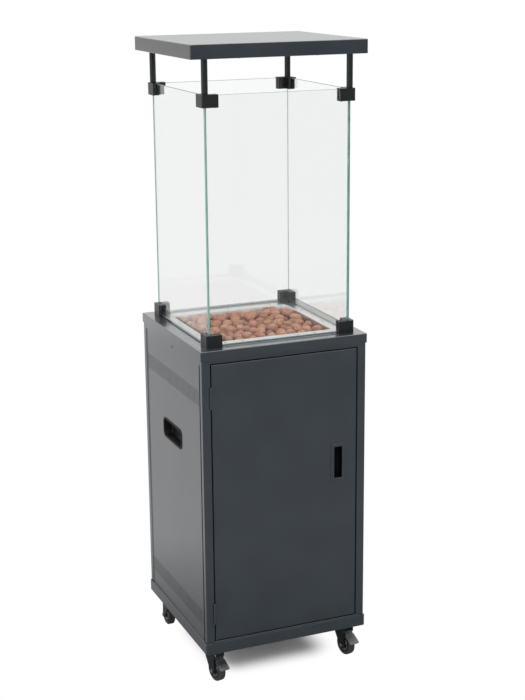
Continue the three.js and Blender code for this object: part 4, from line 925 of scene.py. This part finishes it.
def lying(x, z):
    """Where a turned section's points go: about an axis from front to back."""
    return lambda u, v, w: (x + u, w, z + v)


brass = clouded(
    "plain_brass", dark=(0.42, 0.25, 0.075, 1), light=(0.58, 0.38, 0.14, 1),
    roughness=(0.28, 0.42), grains=1100.0, clouds=120.0, depth=0.00004, Metallic=1.0,
)
red_button = moulded(
    "button_plastic", dark=(0.30, 0.022, 0.016, 1), light=(0.36, 0.028, 0.02, 1),
    roughness=(0.3, 0.36), depth=0.00002,
)
behind_knob, behind_button = lying(KNOB_X, CONTROL_Z), lying(BUTTON_X, CONTROL_Z)

dress("control_panel", zinc)

add_plate(
    rectangle(KNOB_X - 18, 687, KNOB_X + 18, 719, 3), -138.2, -105.2, facing_front, edge=1.2
)
add_turned(
    ((7, -138, 0), (7, -143, 0.8), (3.3, -143, 0.3), (3.3, -124, 0)), behind_knob, sides=32
)
add_plate(hexagon(6.5, 0.2), -107, -95.2, behind_knob, edge=0.7)
barbs = [(5, 690, 0)]
for top in (684, 678.5, 673):
    barbs += [(5, top, 0), (6, top - 0.4, 0.2), (4.8, top - 4, 0)]
barbs += [(4.6, 665, 0.4), (2.6, 665, 0.3), (2.6, 676, 0)]
at_inlet = upright(KNOB_X, -121.7)
add_turned(barbs, at_inlet, sides=32)
add_plate(hexagon(6.8, 0.1), 684.4, 687.4, at_inlet, edge=0.5)
show("brass_gas_valve", [brass], "cabinet", "brass", "gas_valve")

KNOB_BACK = PANEL_FRONT - 3.3
FLUTES = 18
rings = []
for radius, forward, depth in (
    (17, 0, 0), (17, 3.4, 0), (16.6, 4, 0), (14.2, 4.6, 0), (13.4, 6, 0.7), (13.2, 17.5, 0.7),
    (12.6, 19.2, 0.5), (11.2, 20, 0), (9.4, 20, 0), (8.8, 19.4, 0),
):
    ring = []
    for t in turns(144):
        reach = radius - depth * (0.5 - 0.5 * math.cos(FLUTES * t)) ** 2
        ring.append((
            KNOB_X + reach * math.cos(t), KNOB_BACK - forward, CONTROL_Z + reach * math.sin(t)
        ))
    rings.append(ring)
add_rings(rings)
add_plate(
    rectangle(KNOB_X - 2, CONTROL_Z - 2, KNOB_X + 2, CONTROL_Z + 17, 0.8, 1.2),
    KNOB_BACK - 22, KNOB_BACK - 3.6, facing_front, edge=0.6,
)
show("flame_knob", [black_plastic], "knob", "black_plastic", "control_knob")
add_turned(((3, KNOB_BACK - 2, 0), (3, -124.2, 0.4)), behind_knob, sides=28)
show("knob_spindle", [brass], "knob", "brass")

add_turned((
    (6.3, -143.3, 0.6), (12, -143.3, 1.0), (12, -140.3, 0.3), (9, -140.3, 0.2), (9, -137, 0.3),
    (8.4, -136, 0.3), (8.4, -112, 0.4), (9, -110, 0.3), (9, -102.5, 1.2), (3, -102.5, 0.5),
    (3, -108, 0), (6.3, -118, 0),
), behind_button, sides=48, closed=True)
show("spark_igniter", [black_plastic], "cabinet", "black_plastic", "igniter_body")
add_turned((
    (0, -149.7, 0), (4.2, -150.3, 1.5), (6, -149.3, 0.8), (6, -130.3, 0.4)
), behind_button, sides=48)
show("spark_button", [red_button], "button", "black_plastic", "igniter_button")

# The lid is a downturned pan of the same coated sheet. Its skirt oversails the cabinet by 2.5 mm,
# and the burner tray drops through the opening in it.
LID_BOTTOM, LID_TOP = 780.5, 802
OPENING = (-148, 148, -138, 138)
add_sheet((
    (rim, 2.6, LID_BOTTOM, 0.5),
    (rim, 2.6, LID_TOP, 2.2),
    (OPENING, 5, LID_TOP, 0.3),
    (OPENING, 5, LID_TOP - SHEET, 0.3),
    (shrunk(rim, SHEET), 1.1, LID_TOP - SHEET, 0.9),
    (shrunk(rim, SHEET), 1.1, LID_BOTTOM, 0.5),
), flat)
show("top_lid", [anthracite], "cabinet", "anthracite", "lid")

# The burner tray is bright brushed stainless sheet: a flange on the lid, sloping walls down to a
# ledge for the grate, and a well for the burner below it.
FLANGE = 163.5
FLANGE_TOP, FLANGE_BOTTOM = 803.5, 802.3
LEDGE_TOP, WELL_TOP = 762, 733.2
GAUGE = 1.2


def brushed(name, dark, light, roughness, stretch):
    """Brushed metal: the grain is drawn out along one direction."""
    material = finish_of(name, Metallic=1.0)
    lines = add_group(
        material, grain_group, Grains_per_Metre=1400.0, Clouds_per_Metre=30.0, Stretch=stretch
    )
    stains = add_group(material, grain_group, Grains_per_Metre=300.0, Clouds_per_Metre=16.0)
    colour = two_colours(material, spread(material, lines["Grain"], 0, 1), dark, light)
    roughness = spread(material, stains["Cloud"], *roughness)
    return connect(material, roughness, colour, lines["Grain"], 0.00001)


stainless = brushed(
    "brushed_stainless", dark=(0.66, 0.65, 0.64, 1), light=(0.84, 0.83, 0.82, 1),
    roughness=(0.28, 0.34), stretch=(0.02, 1.0, 1.0),
)
flange_rect = (-FLANGE, FLANGE, -FLANGE, FLANGE)
mouth = (-142.5, 142.5, -132.5, 132.5)
drain = (-9.3, 9.3, -9.3, 9.3)
add_sheet((
    (flange_rect, 4, FLANGE_TOP, 0.4),
    (mouth, 7, FLANGE_TOP, 2.2),
    (shrunk(mouth, 8), 6, LEDGE_TOP, 1.2),
    (shrunk(mouth, 16), 6, LEDGE_TOP, 1.5),
    (shrunk(mouth, 16), 6, WELL_TOP, 2.5),
    (drain, 9.3, WELL_TOP, 0),
    (drain, 9.3, WELL_TOP - GAUGE, 0),
    (shrunk(mouth, 14.8), 7, WELL_TOP - GAUGE, 3.5),
    (shrunk(mouth, 14.8), 7, LEDGE_TOP - GAUGE, 0.6),
    (shrunk(mouth, 6.8), 7, LEDGE_TOP - GAUGE, 2.2),
    (shrunk(mouth, -1.2), 8, FLANGE_BOTTOM, 1.0),
    (flange_rect, 4, FLANGE_BOTTOM, 0.4),
), flat)
show("stone_tray", [stainless], "cabinet", "stainless", "burner_tray")

# In the well stands the ring burner: a tube ring with two rows of ports, a cross tube, and a
# mixing tube that drops through the tray's floor to the injector block.
BURNER_Z = 748.5
PILOT_X = 93
RING_RADIUS, TUBE_RADIUS = 70, 7
burner_steel = brushed(
    "burner_steel", dark=(0.34, 0.31, 0.27, 1), light=(0.52, 0.49, 0.45, 1),
    roughness=(0.3, 0.45), stretch=(1.0, 1.0, 0.05),
)
add_rings([[
    (
        (RING_RADIUS + TUBE_RADIUS * math.cos(t)) * math.cos(around),
        (RING_RADIUS + TUBE_RADIUS * math.cos(t)) * math.sin(around),
        BURNER_Z + TUBE_RADIUS * math.sin(t),
    )
    for t in turns(20)
] for around in turns(72)], closed=True)
add_turned(both_ways((5.8, -68, 0)), lambda u, v, w: (w, u, BURNER_Z + v), sides=24)
add_turned((
    (9, BURNER_Z, 1), (9, 737, 0), (16, 735.5, 0.3), (16, 733.6, 0.2), (9, 733.6, 0),
    (9, 690.3, 0.5),
), flat, sides=40)
add_plate(rectangle(-9, -9, 9, 9, 1), 672, 690.5, flat, edge=0.8)
add_plate(hexagon(6.5, 0.0), -15.9, -8, lying(0, 681), edge=0.6)
show("ring_burner_tube", [burner_steel], "cabinet", "stainless", "ring_burner")

add_slab((85, 101, -17, 17), 2, 733.5, 735.5, 0.3, inner=1)
add_turned(
    ((3.5, 734, 0), (3.5, 748, 0.3), (2.6, 750, 0.2), (2.6, 755.5, 0.4)),
    upright(PILOT_X, 0), sides=24,
)
for side in (-1, 1):
    add_turned((
        (1.8, 734, 0), (1.8, 744, 0.3), (0.9, 745.5, 0.2), (0.9, 755.2, 0.3), (0, 755.5, 0)
    ), upright(PILOT_X, 11 * side), sides=18)
show("pilot_and_probes", [burner_steel], "cabinet", "stainless", "pilot_assembly")

# The gas pipe is one length of plated tube in an easy double bend, from the valve's outlet to the
# injector, with a hexagon union at each end.
start, end, ease = Vector((-50, -94.9, 703)), Vector((0, -16.3, 681)), Vector((0, 36, 0))
rings = []
for i in range(41):
    t = i / 40
    spot = (
        start * (1 - t) ** 3 + (start + ease) * 3 * t * (1 - t) ** 2
        + (end - ease) * 3 * t * t * (1 - t) + end * t ** 3
    )
    heading = (
        ease * 3 * (1 - t) ** 2 + (end - start - ease * 2) * 6 * t * (1 - t) + ease * 3 * t * t
    ).normalized()
    sideways = heading.cross(Vector((0, 0, 1))).normalized()
    over = sideways.cross(heading)
    rings.append([
        tuple(spot + (sideways * math.cos(a) + over * math.sin(a)) * 3.98) for a in turns(20)
    ])
add_rings(rings)
show("bent_gas_pipe", [zinc], "cabinet", "zinc", "gas_pipe")

# The grate is a slotted stainless plate on the tray's ledge, and a bed of rounded terracotta
# lava stones lies on it. The stones are porous and no two are alike.
BED_X, BED_Y = 136, 126
BED_BOTTOM, BED_TOP = 764.1, 809
STONE_LEAST, STONE_MOST = 10.0, 15.0
STONE_SEED = 11
STONE_MISSES, STONE_TRIES = 100, 90
WALL_GAP, SEAT, TOUCH, STACK, CROWN = 0.94, 0.78, 0.92, 0.9, 0.8
LAVA_DARK = (0.54, 0.225, 0.135, 1)
LAVA_MIDDLE = (0.70, 0.345, 0.22, 1)
LAVA_PALE = (0.80, 0.48, 0.34, 1)
# Painted shade: the pits are painted this dark colour for the shade inside the pores.
LAVA_PIT = (0.17, 0.062, 0.04, 1)
# Painted shade: stones low in the bed are painted darker towards this colour, for the shade between
# them.
LAVA_BED_SHADE = (0.12, 0.045, 0.03, 1)
BED_SHADE_FULL_HEIGHT, BED_SHADE_GONE_HEIGHT = 0.784, 0.803

dress("stone_grate", stainless, edge=0.3)

lava = finish_of("lava_stone", Specular_IOR_Level=0.2)
tree = lava.node_tree
lava_surface = add_group(lava, grain_group, Grains_per_Metre=420.0, Clouds_per_Metre=38.0)
place = add_node(tree, "ShaderNodeTexCoord").outputs["Object"]
pits = add_node(tree, "ShaderNodeTexVoronoi", {"Vector": place, "Scale": 360.0})
pit_share = map_range(tree, pits.outputs["Distance"], 0.16, 0.40)
# Painted shade: stones are painted darker below this height band, for the shade deep in the bed.
unshaded_share = map_range(tree, axes_of(tree, place)["Z"], BED_SHADE_FULL_HEIGHT, BED_SHADE_GONE_HEIGHT)
tint = add_node(tree, "ShaderNodeAttribute", attribute_name="tint").outputs["Fac"]
cloud_share = spread(lava, lava_surface["Cloud"], 0.15, 0.85)
lava_colour = two_colours(lava, tint, LAVA_DARK, LAVA_PALE)
lava_colour = two_colours(lava, cloud_share, lava_colour, LAVA_MIDDLE)
lava_colour = two_colours(lava, pit_share, LAVA_PIT, lava_colour)
lava_colour = two_colours(lava, unshaded_share, LAVA_BED_SHADE, lava_colour)
lava_height = math_node(tree, "MULTIPLY", pit_share, 0.7)
lava_height = math_node(tree, "ADD", lava_height, lava_surface["Grain"])
connect(lava, spread(lava, lava_surface["Grain"], 0.85, 0.95), lava_colour, lava_height, 0.0009)


def stone_places(seed):
    """Drops round stones into the tray one by one, each into the lowest of many random gaps."""
    chance = random.Random(seed)
    placed = []
    missed = 0
    while missed < STONE_MISSES:
        radius = chance.uniform(STONE_LEAST, STONE_MOST)
        best = None
        for _ in range(STONE_TRIES):
            x = chance.uniform(-BED_X + radius * WALL_GAP, BED_X - radius * WALL_GAP)
            y = chance.uniform(-BED_Y + radius * WALL_GAP, BED_Y - radius * WALL_GAP)
            z = BED_BOTTOM + radius * SEAT
            for px, py, pz, other in placed:
                gap = (x - px) ** 2 + (y - py) ** 2
                touch = (radius + other) * TOUCH
                if gap < touch * touch:
                    z = max(z, pz + STACK * math.sqrt(touch * touch - gap))
            if best is None or z < best[2]:
                best = (x, y, z, radius)
        if best[2] + best[3] * CROWN > BED_TOP:
            missed += 1
            continue
        placed.append(best)
    return placed


def start_tree(name, inputs, most_turn):
    """A Geometry Nodes tree with named inputs and a random turn for every point."""
    tree = bpy.data.node_groups.new(name, "GeometryNodeTree")
    sockets = {
        label: tree.interface.new_socket(label, in_out="INPUT", socket_type=f"NodeSocket{kind}")
        for label, kind in (("Geometry", "Geometry"), *inputs)
    }
    tree.interface.new_socket("Geometry", in_out="OUTPUT", socket_type="NodeSocketGeometry")
    given = add_node(tree, "NodeGroupInput").outputs
    turn = add_node(
        tree, "FunctionNodeRandomValue", {"Max": most_turn, "Seed": given["Seed"]},
        data_type="FLOAT_VECTOR",
    )
    spin = add_node(tree, "FunctionNodeEulerToRotation", {"Euler": turn.outputs["Value"]})
    return tree, sockets, given, spin.outputs[0]


def named_attribute(tree, name, kind):
    return add_node(
        tree, "GeometryNodeInputNamedAttribute", {"Name": name}, data_type=kind
    ).outputs["Attribute"]


def instances(tree, points, instance, rotation, scale):
    """The instance on every point, turned and scaled, as real geometry."""
    place = add_node(tree, "GeometryNodeInstanceOnPoints", {
        "Points": points, "Instance": instance, "Rotation": rotation, "Scale": scale,
    })
    return add_node(
        tree, "GeometryNodeRealizeInstances", {"Geometry": place.outputs["Instances"]}
    ).outputs[0]


def end_tree(tree, geometry, finish):
    """Gives the geometry its finish and puts it out."""
    paint = add_node(
        tree, "GeometryNodeSetMaterial", {"Geometry": geometry, "Material": finish}
    )
    add_node(tree, "NodeGroupOutput", {0: paint.outputs[0]})


def stone_tree():
    """Geometry Nodes: an uneven pebble on every point, each with its own size and turn."""
    tree, sockets, given, spin = start_tree("lava_stones_on_points", (
        ("Roundness Steps", "Int"), ("Lump Height", "Float"), ("Lumps per Metre", "Float"),
        ("Seed", "Int"), ("Finish", "Material"),
    ), (0.5, 0.5, 2 * math.pi))
    pebble = add_node(tree, "GeometryNodeMeshIcoSphere", {
        "Radius": 1.0, "Subdivisions": given["Roundness Steps"],
    })
    extent = named_attribute(tree, "extent", "FLOAT_VECTOR")
    real = instances(tree, given["Geometry"], pebble.outputs["Mesh"], spin, extent)
    position = add_node(tree, "GeometryNodeInputPosition").outputs[0]
    lumps = add_node(tree, "ShaderNodeTexNoise", {
        "Vector": position, "Scale": given["Lumps per Metre"], "Detail": 1.5,
    })
    centred = math_node(tree, "SUBTRACT", lumps.outputs["Fac"], 0.55)
    normal = add_node(tree, "GeometryNodeInputNormal").outputs[0]
    push = add_node(tree, "ShaderNodeVectorMath", {
        0: normal, "Scale": math_node(tree, "MULTIPLY", centred, given["Lump Height"]),
    }, operation="SCALE")
    move = add_node(
        tree, "GeometryNodeSetPosition", {"Geometry": real, "Offset": push.outputs[0]}
    )
    smooth = add_node(tree, "GeometryNodeSetShadeSmooth", {"Geometry": move.outputs[0]})
    end_tree(tree, smooth.outputs[0], given["Finish"])
    return tree, sockets


def grow(host, tree, sockets, **values):
    """Runs a Geometry Nodes tree on a piece and keeps the result as its plain mesh."""
    modifier = host.modifiers.new("grown", "NODES")
    modifier.node_group = tree
    for name, value in values.items():
        modifier[sockets[name.replace("_", " ")].identifier] = value
    graph = bpy.context.evaluated_depsgraph_get()
    mesh = bpy.data.meshes.new_from_object(host.evaluated_get(graph))
    mesh.name = host.name
    host.modifiers.remove(modifier)
    host.data = mesh


def points_object(name, places, **attributes):
    """A mesh of loose points in metres with named values on them."""
    mesh = bpy.data.meshes.new(name)
    mesh.from_pydata([tuple(c * MM for c in place) for place in places], [], [])
    for key, values in attributes.items():
        kind = "FLOAT_VECTOR" if isinstance(values[0], tuple) else "FLOAT"
        layer = mesh.attributes.new(key, kind, "POINT")
        for item, value in zip(layer.data, values):
            if kind == "FLOAT":
                item.value = value
            else:
                item.vector = value
    return put(name, mesh)


stones = stone_places(STONE_SEED)
variety = random.Random(STONE_SEED + 1)
bed = points_object(
    "lava_stone_bed",
    [(x, y, z) for x, y, z, _ in stones],
    extent=[
        (r * variety.uniform(0.95, 1.12) * MM, r * variety.uniform(0.88, 1.0) * MM, r * 0.86 * MM)
        for _, _, _, r in stones
    ],
    tint=[variety.uniform(0.0, 1.0) for _ in stones],
)
stones_tree, stones_sockets = stone_tree()
grow(
    bed, stones_tree, stones_sockets,
    Roundness_Steps=3, Lump_Height=0.0045, Lumps_per_Metre=110.0, Seed=3, Finish=lava,
)
carry(bed, "cabinet", "lava", "lava_stones")

# Four clamps of black-painted metal stand on the lid's corners over the tray's flange, and four
# more cap the corners of the glass. Each grips two panes in its L-shaped slot.
for corner in CORNERS:
    dress(f"lower_clamp_{corner}", black_paint, edge=0.6)
    dress(f"upper_clamp_{corner}", black_paint, edge=0.6)

# The flame chamber is four panes of 5 mm clear tempered glass. The front and back panes run the
# full width with the side panes between them. All edges are polished and slightly arrissed.
GLASS_BOTTOM, GLASS_TOP = 805.3, 1346.3
GLASS_OUTER, GLASS_INNER, SIDE_PANE_END = 169.5, 164.5, 164.2
GLASS_CLEAR = (0.945, 0.955, 0.952, 1)


def clear(name, colour, roughness):
    """Clear glass with faint wiping streaks that lets the lamps' light through."""
    material = finish_of(
        name, Base_Color=colour, Transmission_Weight=1.0, IOR=1.5, Metallic=0.0
    )
    tree = material.node_tree
    streaks = add_group(
        material, grain_group, Grains_per_Metre=30.0, Clouds_per_Metre=7.0, Stretch=(1.0, 1.0, 0.2)
    )
    connect(material, spread(material, streaks["Cloud"], *roughness))
    path = add_node(tree, "ShaderNodeLightPath")
    open_way = add_node(
        tree, "ShaderNodeBsdfTransparent", {"Color": (*(0.5 + c * 0.5 for c in colour[:3]), 1)}
    )
    choice = mix_shaders(
        tree, path.outputs["Is Shadow Ray"], tree.nodes["Principled BSDF"], open_way
    )
    tree.links.new(choice.outputs[0], tree.nodes["Material Output"].inputs["Surface"])
    return material


glass_face = clear("clear_glass_face", GLASS_CLEAR, (0.0, 0.012))
glass_edge = finish_of("polished_glass_edge", Coat_Weight=0.4)
edge_surface = add_group(glass_edge, grain_group, Grains_per_Metre=500.0, Clouds_per_Metre=25.0)
connect(
    glass_edge,
    spread(glass_edge, edge_surface["Grain"], 0.28, 0.34),
    two_colours(
        glass_edge, spread(glass_edge, edge_surface["Cloud"], 0, 1),
        (0.15, 0.345, 0.31, 1), (0.225, 0.43, 0.385, 1),
    ),
)
for name, low, high in (
    ("front", (-GLASS_OUTER, -GLASS_OUTER), (GLASS_OUTER, -GLASS_INNER)),
    ("back", (-GLASS_OUTER, GLASS_INNER), (GLASS_OUTER, GLASS_OUTER)),
    ("left", (-GLASS_OUTER, -SIDE_PANE_END), (-GLASS_INNER, SIDE_PANE_END)),
    ("right", (GLASS_INNER, -SIDE_PANE_END), (GLASS_OUTER, SIDE_PANE_END)),
):
    plan = corners_of(*low, *high)
    add_rings([[(x, y, z) for x, y in plan] for z in (GLASS_BOTTOM, GLASS_TOP)])
    bmesh.ops.bevel(
        draft, geom=list(draft.edges), offset=0.5, segments=1, affect="EDGES", clamp_overlap=True
    )
    draft.normal_update()
    thin = Vector((0, 1, 0)) if name in ("front", "back") else Vector((1, 0, 0))
    for face in draft.faces:
        face.material_index = 0 if abs(face.normal.dot(thin)) > 0.99 else 1
    show(
        f"{name}_glass_pane", [glass_face, glass_edge], "cabinet", "clear_glass",
        f"glass_{name}", sharp=20,
    )

# A strip of greyish clear silicone edges the bottom of each pane and closes its gap to the lid.
silicone = moulded(
    "clear_silicone", dark=(0.30, 0.33, 0.33, 1), light=(0.38, 0.41, 0.41, 1),
    roughness=(0.3, 0.4),
)
for x0, x1, y0, y1 in (
    (-164, 164, -168.8, -166.2), (-164, 164, 166.2, 168.8),
    (-168.8, -166.2, -164, 164), (166.2, 168.8, -164, 164),
):
    add_plate(rectangle(x0, y0, x1, y1, 0.5), 803.8, 805.2, flat, edge=0.4)
show("glass_seals", [silicone], "cabinet", "tyre")

# A short turned post stands on each upper clamp, screwed to its stud, and carries the canopy.
POST_BOTTOM, POST_TOP, STUD_TOP = 1348.4, 1420.9, 1430.9
POST_CENTRE = 167.8
for corner, (sx, sy) in CORNERS.items():
    add_turned((
        (7, POST_BOTTOM, 0.6), (7, POST_TOP, 0.6), (3, POST_TOP, 0), (3, STUD_TOP, 0.5)
    ), upright(POST_CENTRE * sx, POST_CENTRE * sy), sides=48)
    show(f"canopy_post_{corner}", [black_paint], "cabinet", "black_paint", f"post_{corner}")

# The canopy is a folded pan of coated sheet with the walls down. A brushed stainless heat plate
# with a stepped-up middle closes it from below.
CANOPY_BOTTOM, CANOPY_TOP = 1421.2, 1452.2
canopy = (-204, 204, -184.5, 184.5)
add_pan(canopy, CANOPY_TOP, CANOPY_BOTTOM, 3, 1.5, (2.2, 0.6, 0.9), flat)
show("canopy_pan", [anthracite], "cabinet", "anthracite", "canopy_shell")

plate = shrunk(canopy, SHEET + 0.3)
add_sheet((
    (shrunk(plate, 70), 14, CANOPY_BOTTOM + 3, 0),
    (shrunk(plate, 58), 12, CANOPY_BOTTOM + 3, 3),
    (shrunk(plate, 50), 12, CANOPY_BOTTOM, 3),
    (plate, 2, CANOPY_BOTTOM, 1.8),
    (plate, 2, CANOPY_BOTTOM + 15, 0.5),
    (shrunk(plate, SHEET), 1, CANOPY_BOTTOM + 15, 0.5),
    (shrunk(plate, SHEET), 1, CANOPY_BOTTOM + SHEET, 0.8),
    (shrunk(plate, 50), 12, CANOPY_BOTTOM + SHEET, 3),
    (shrunk(plate, 58), 12, CANOPY_BOTTOM + 3 + SHEET, 3),
    (shrunk(plate, 70), 14, CANOPY_BOTTOM + 3 + SHEET, 0),
), flat, closed=False)
show("heat_reflector", [stainless], "cabinet", "stainless", "canopy_heat_plate")

# Cross-recessed pan-head screws hold the tray's flange, the back panel, the caster plates and the
# heat plate. Small black ones hold the side panels and pinch the clamps on the glass.
SCREW_RADIUS, FLANGE_SCREW_RADIUS, SIDE_SCREW_RADIUS, CLAMP_SCREW_RADIUS = 2.8, 2.2, 2.1, 1.7
SCREW_SEED = 5
HEAD_HEIGHT = 0.62
RECESS_DEPTH = 0.38
UP, DOWN, BACKWARD = (0, 0, 1), (0, 0, -1), (0, 1, 0)
BACK_FACE, SIDE_FACE = 198, 196.2
PLATE_SCREWS = (-15.8, 15.8)
CLAMP_SCREW_X, CLAMP_SCREW_Y = 146, 173.8
CLAMP_SCREW_HEIGHTS = ((829.8, UP), (1320.6, DOWN))


def screw_head():
    """A pan head with a cross recess on the plane of its seat, of one millimetre's radius."""
    rings = [[(0, 0, HEAD_HEIGHT - RECESS_DEPTH)]]
    for radius, arm_depth, land_depth in (
        (0.14, 1.0, 1.0), (0.24, 1.0, 0.0), (0.52, 0.7, 0.0), (0.6, 0.0, 0.0), (0.84, 0.0, 0.0),
    ):
        dome = HEAD_HEIGHT * (1 - 0.42 * radius * radius)
        rings.append([
            (
                radius * math.cos(t),
                radius * math.sin(t),
                dome - RECESS_DEPTH * (land_depth if i % 6 else arm_depth),
            )
            for i, t in enumerate(turns(24))
        ])
    rings += [[(math.cos(t), math.sin(t), height) for t in turns(24)] for height in (0.3, -0.04)]
    add_rings(rings)
    mesh = drawn_mesh("screw_head")
    smooth(mesh, 40)
    return put("screw_head", mesh)


def screw_tree():
    """Geometry Nodes: a head on every point, facing its way and driven home at any turn."""
    tree, sockets, given, spin = start_tree(
        "screw_heads_on_points", (("Head", "Object"), ("Seed", "Int"), ("Finish", "Material")),
        (0, 0, 2 * math.pi),
    )
    head = add_node(tree, "GeometryNodeObjectInfo", {"Object": given["Head"]})
    aim = add_node(tree, "FunctionNodeAlignRotationToVector", {
        "Rotation": spin, "Vector": named_attribute(tree, "facing", "FLOAT_VECTOR"),
    }, axis="Z")
    extent = named_attribute(tree, "extent", "FLOAT")
    real = instances(tree, given["Geometry"], head.outputs["Geometry"], aim.outputs[0], extent)
    end_tree(tree, real, given["Finish"])
    return tree, sockets


plain_screws = [
    ((x, y, FLANGE_TOP), UP, FLANGE_SCREW_RADIUS)
    for x, y in (
        *((x, -148) for x in (-123, -82, 52, 93)),
        *((x, 148) for x in (-110, 0, 110)),
        *((x, y) for x in (-153, 153) for y in (-60, 60)),
    )
] + [
    ((x, BACK_FACE, z), BACKWARD, SCREW_RADIUS) for x in (-188, 188) for z in (130, 440, 752)
] + [
    ((sx * CASTER_X + x, sy * CASTER_Y + y, PLATE_BOTTOM), DOWN, SCREW_RADIUS)
    for sx, sy in CORNERS.values() for x in PLATE_SCREWS for y in PLATE_SCREWS
] + [
    ((x, y, CANOPY_BOTTOM), DOWN, SCREW_RADIUS)
    for x, y in (
        *((x, y) for x in (-190, 190) for y in (-90, 90)),
        *((x, y) for y in (-170, 170) for x in (-90, 90)),
    )
]
black_screws = [
    ((sx * CLAMP_SCREW_X, sy * CLAMP_SCREW_Y, z), facing, CLAMP_SCREW_RADIUS)
    for sx, sy in CORNERS.values() for z, facing in CLAMP_SCREW_HEIGHTS
] + [
    ((side * SIDE_FACE, 0, 766), (side, 0, 0), SIDE_SCREW_RADIUS) for side in (-1, 1)
]
head = screw_head()
heads_tree, heads_sockets = screw_tree()
for name, screws, finish, slot, stands_for in (
    ("plain_screws", plain_screws, zinc, "zinc", ()),
    ("black_screws", black_screws, black_paint, "black_paint",
     ("left_panel_screw", "right_panel_screw")),
):
    places, facings, radii = zip(*screws)
    host = points_object(name, places, facing=facings, extent=radii)
    grow(host, heads_tree, heads_sockets, Head=head, Seed=SCREW_SEED, Finish=finish)
    carry(host, "cabinet", slot, *stands_for)
bpy.data.objects.remove(head)
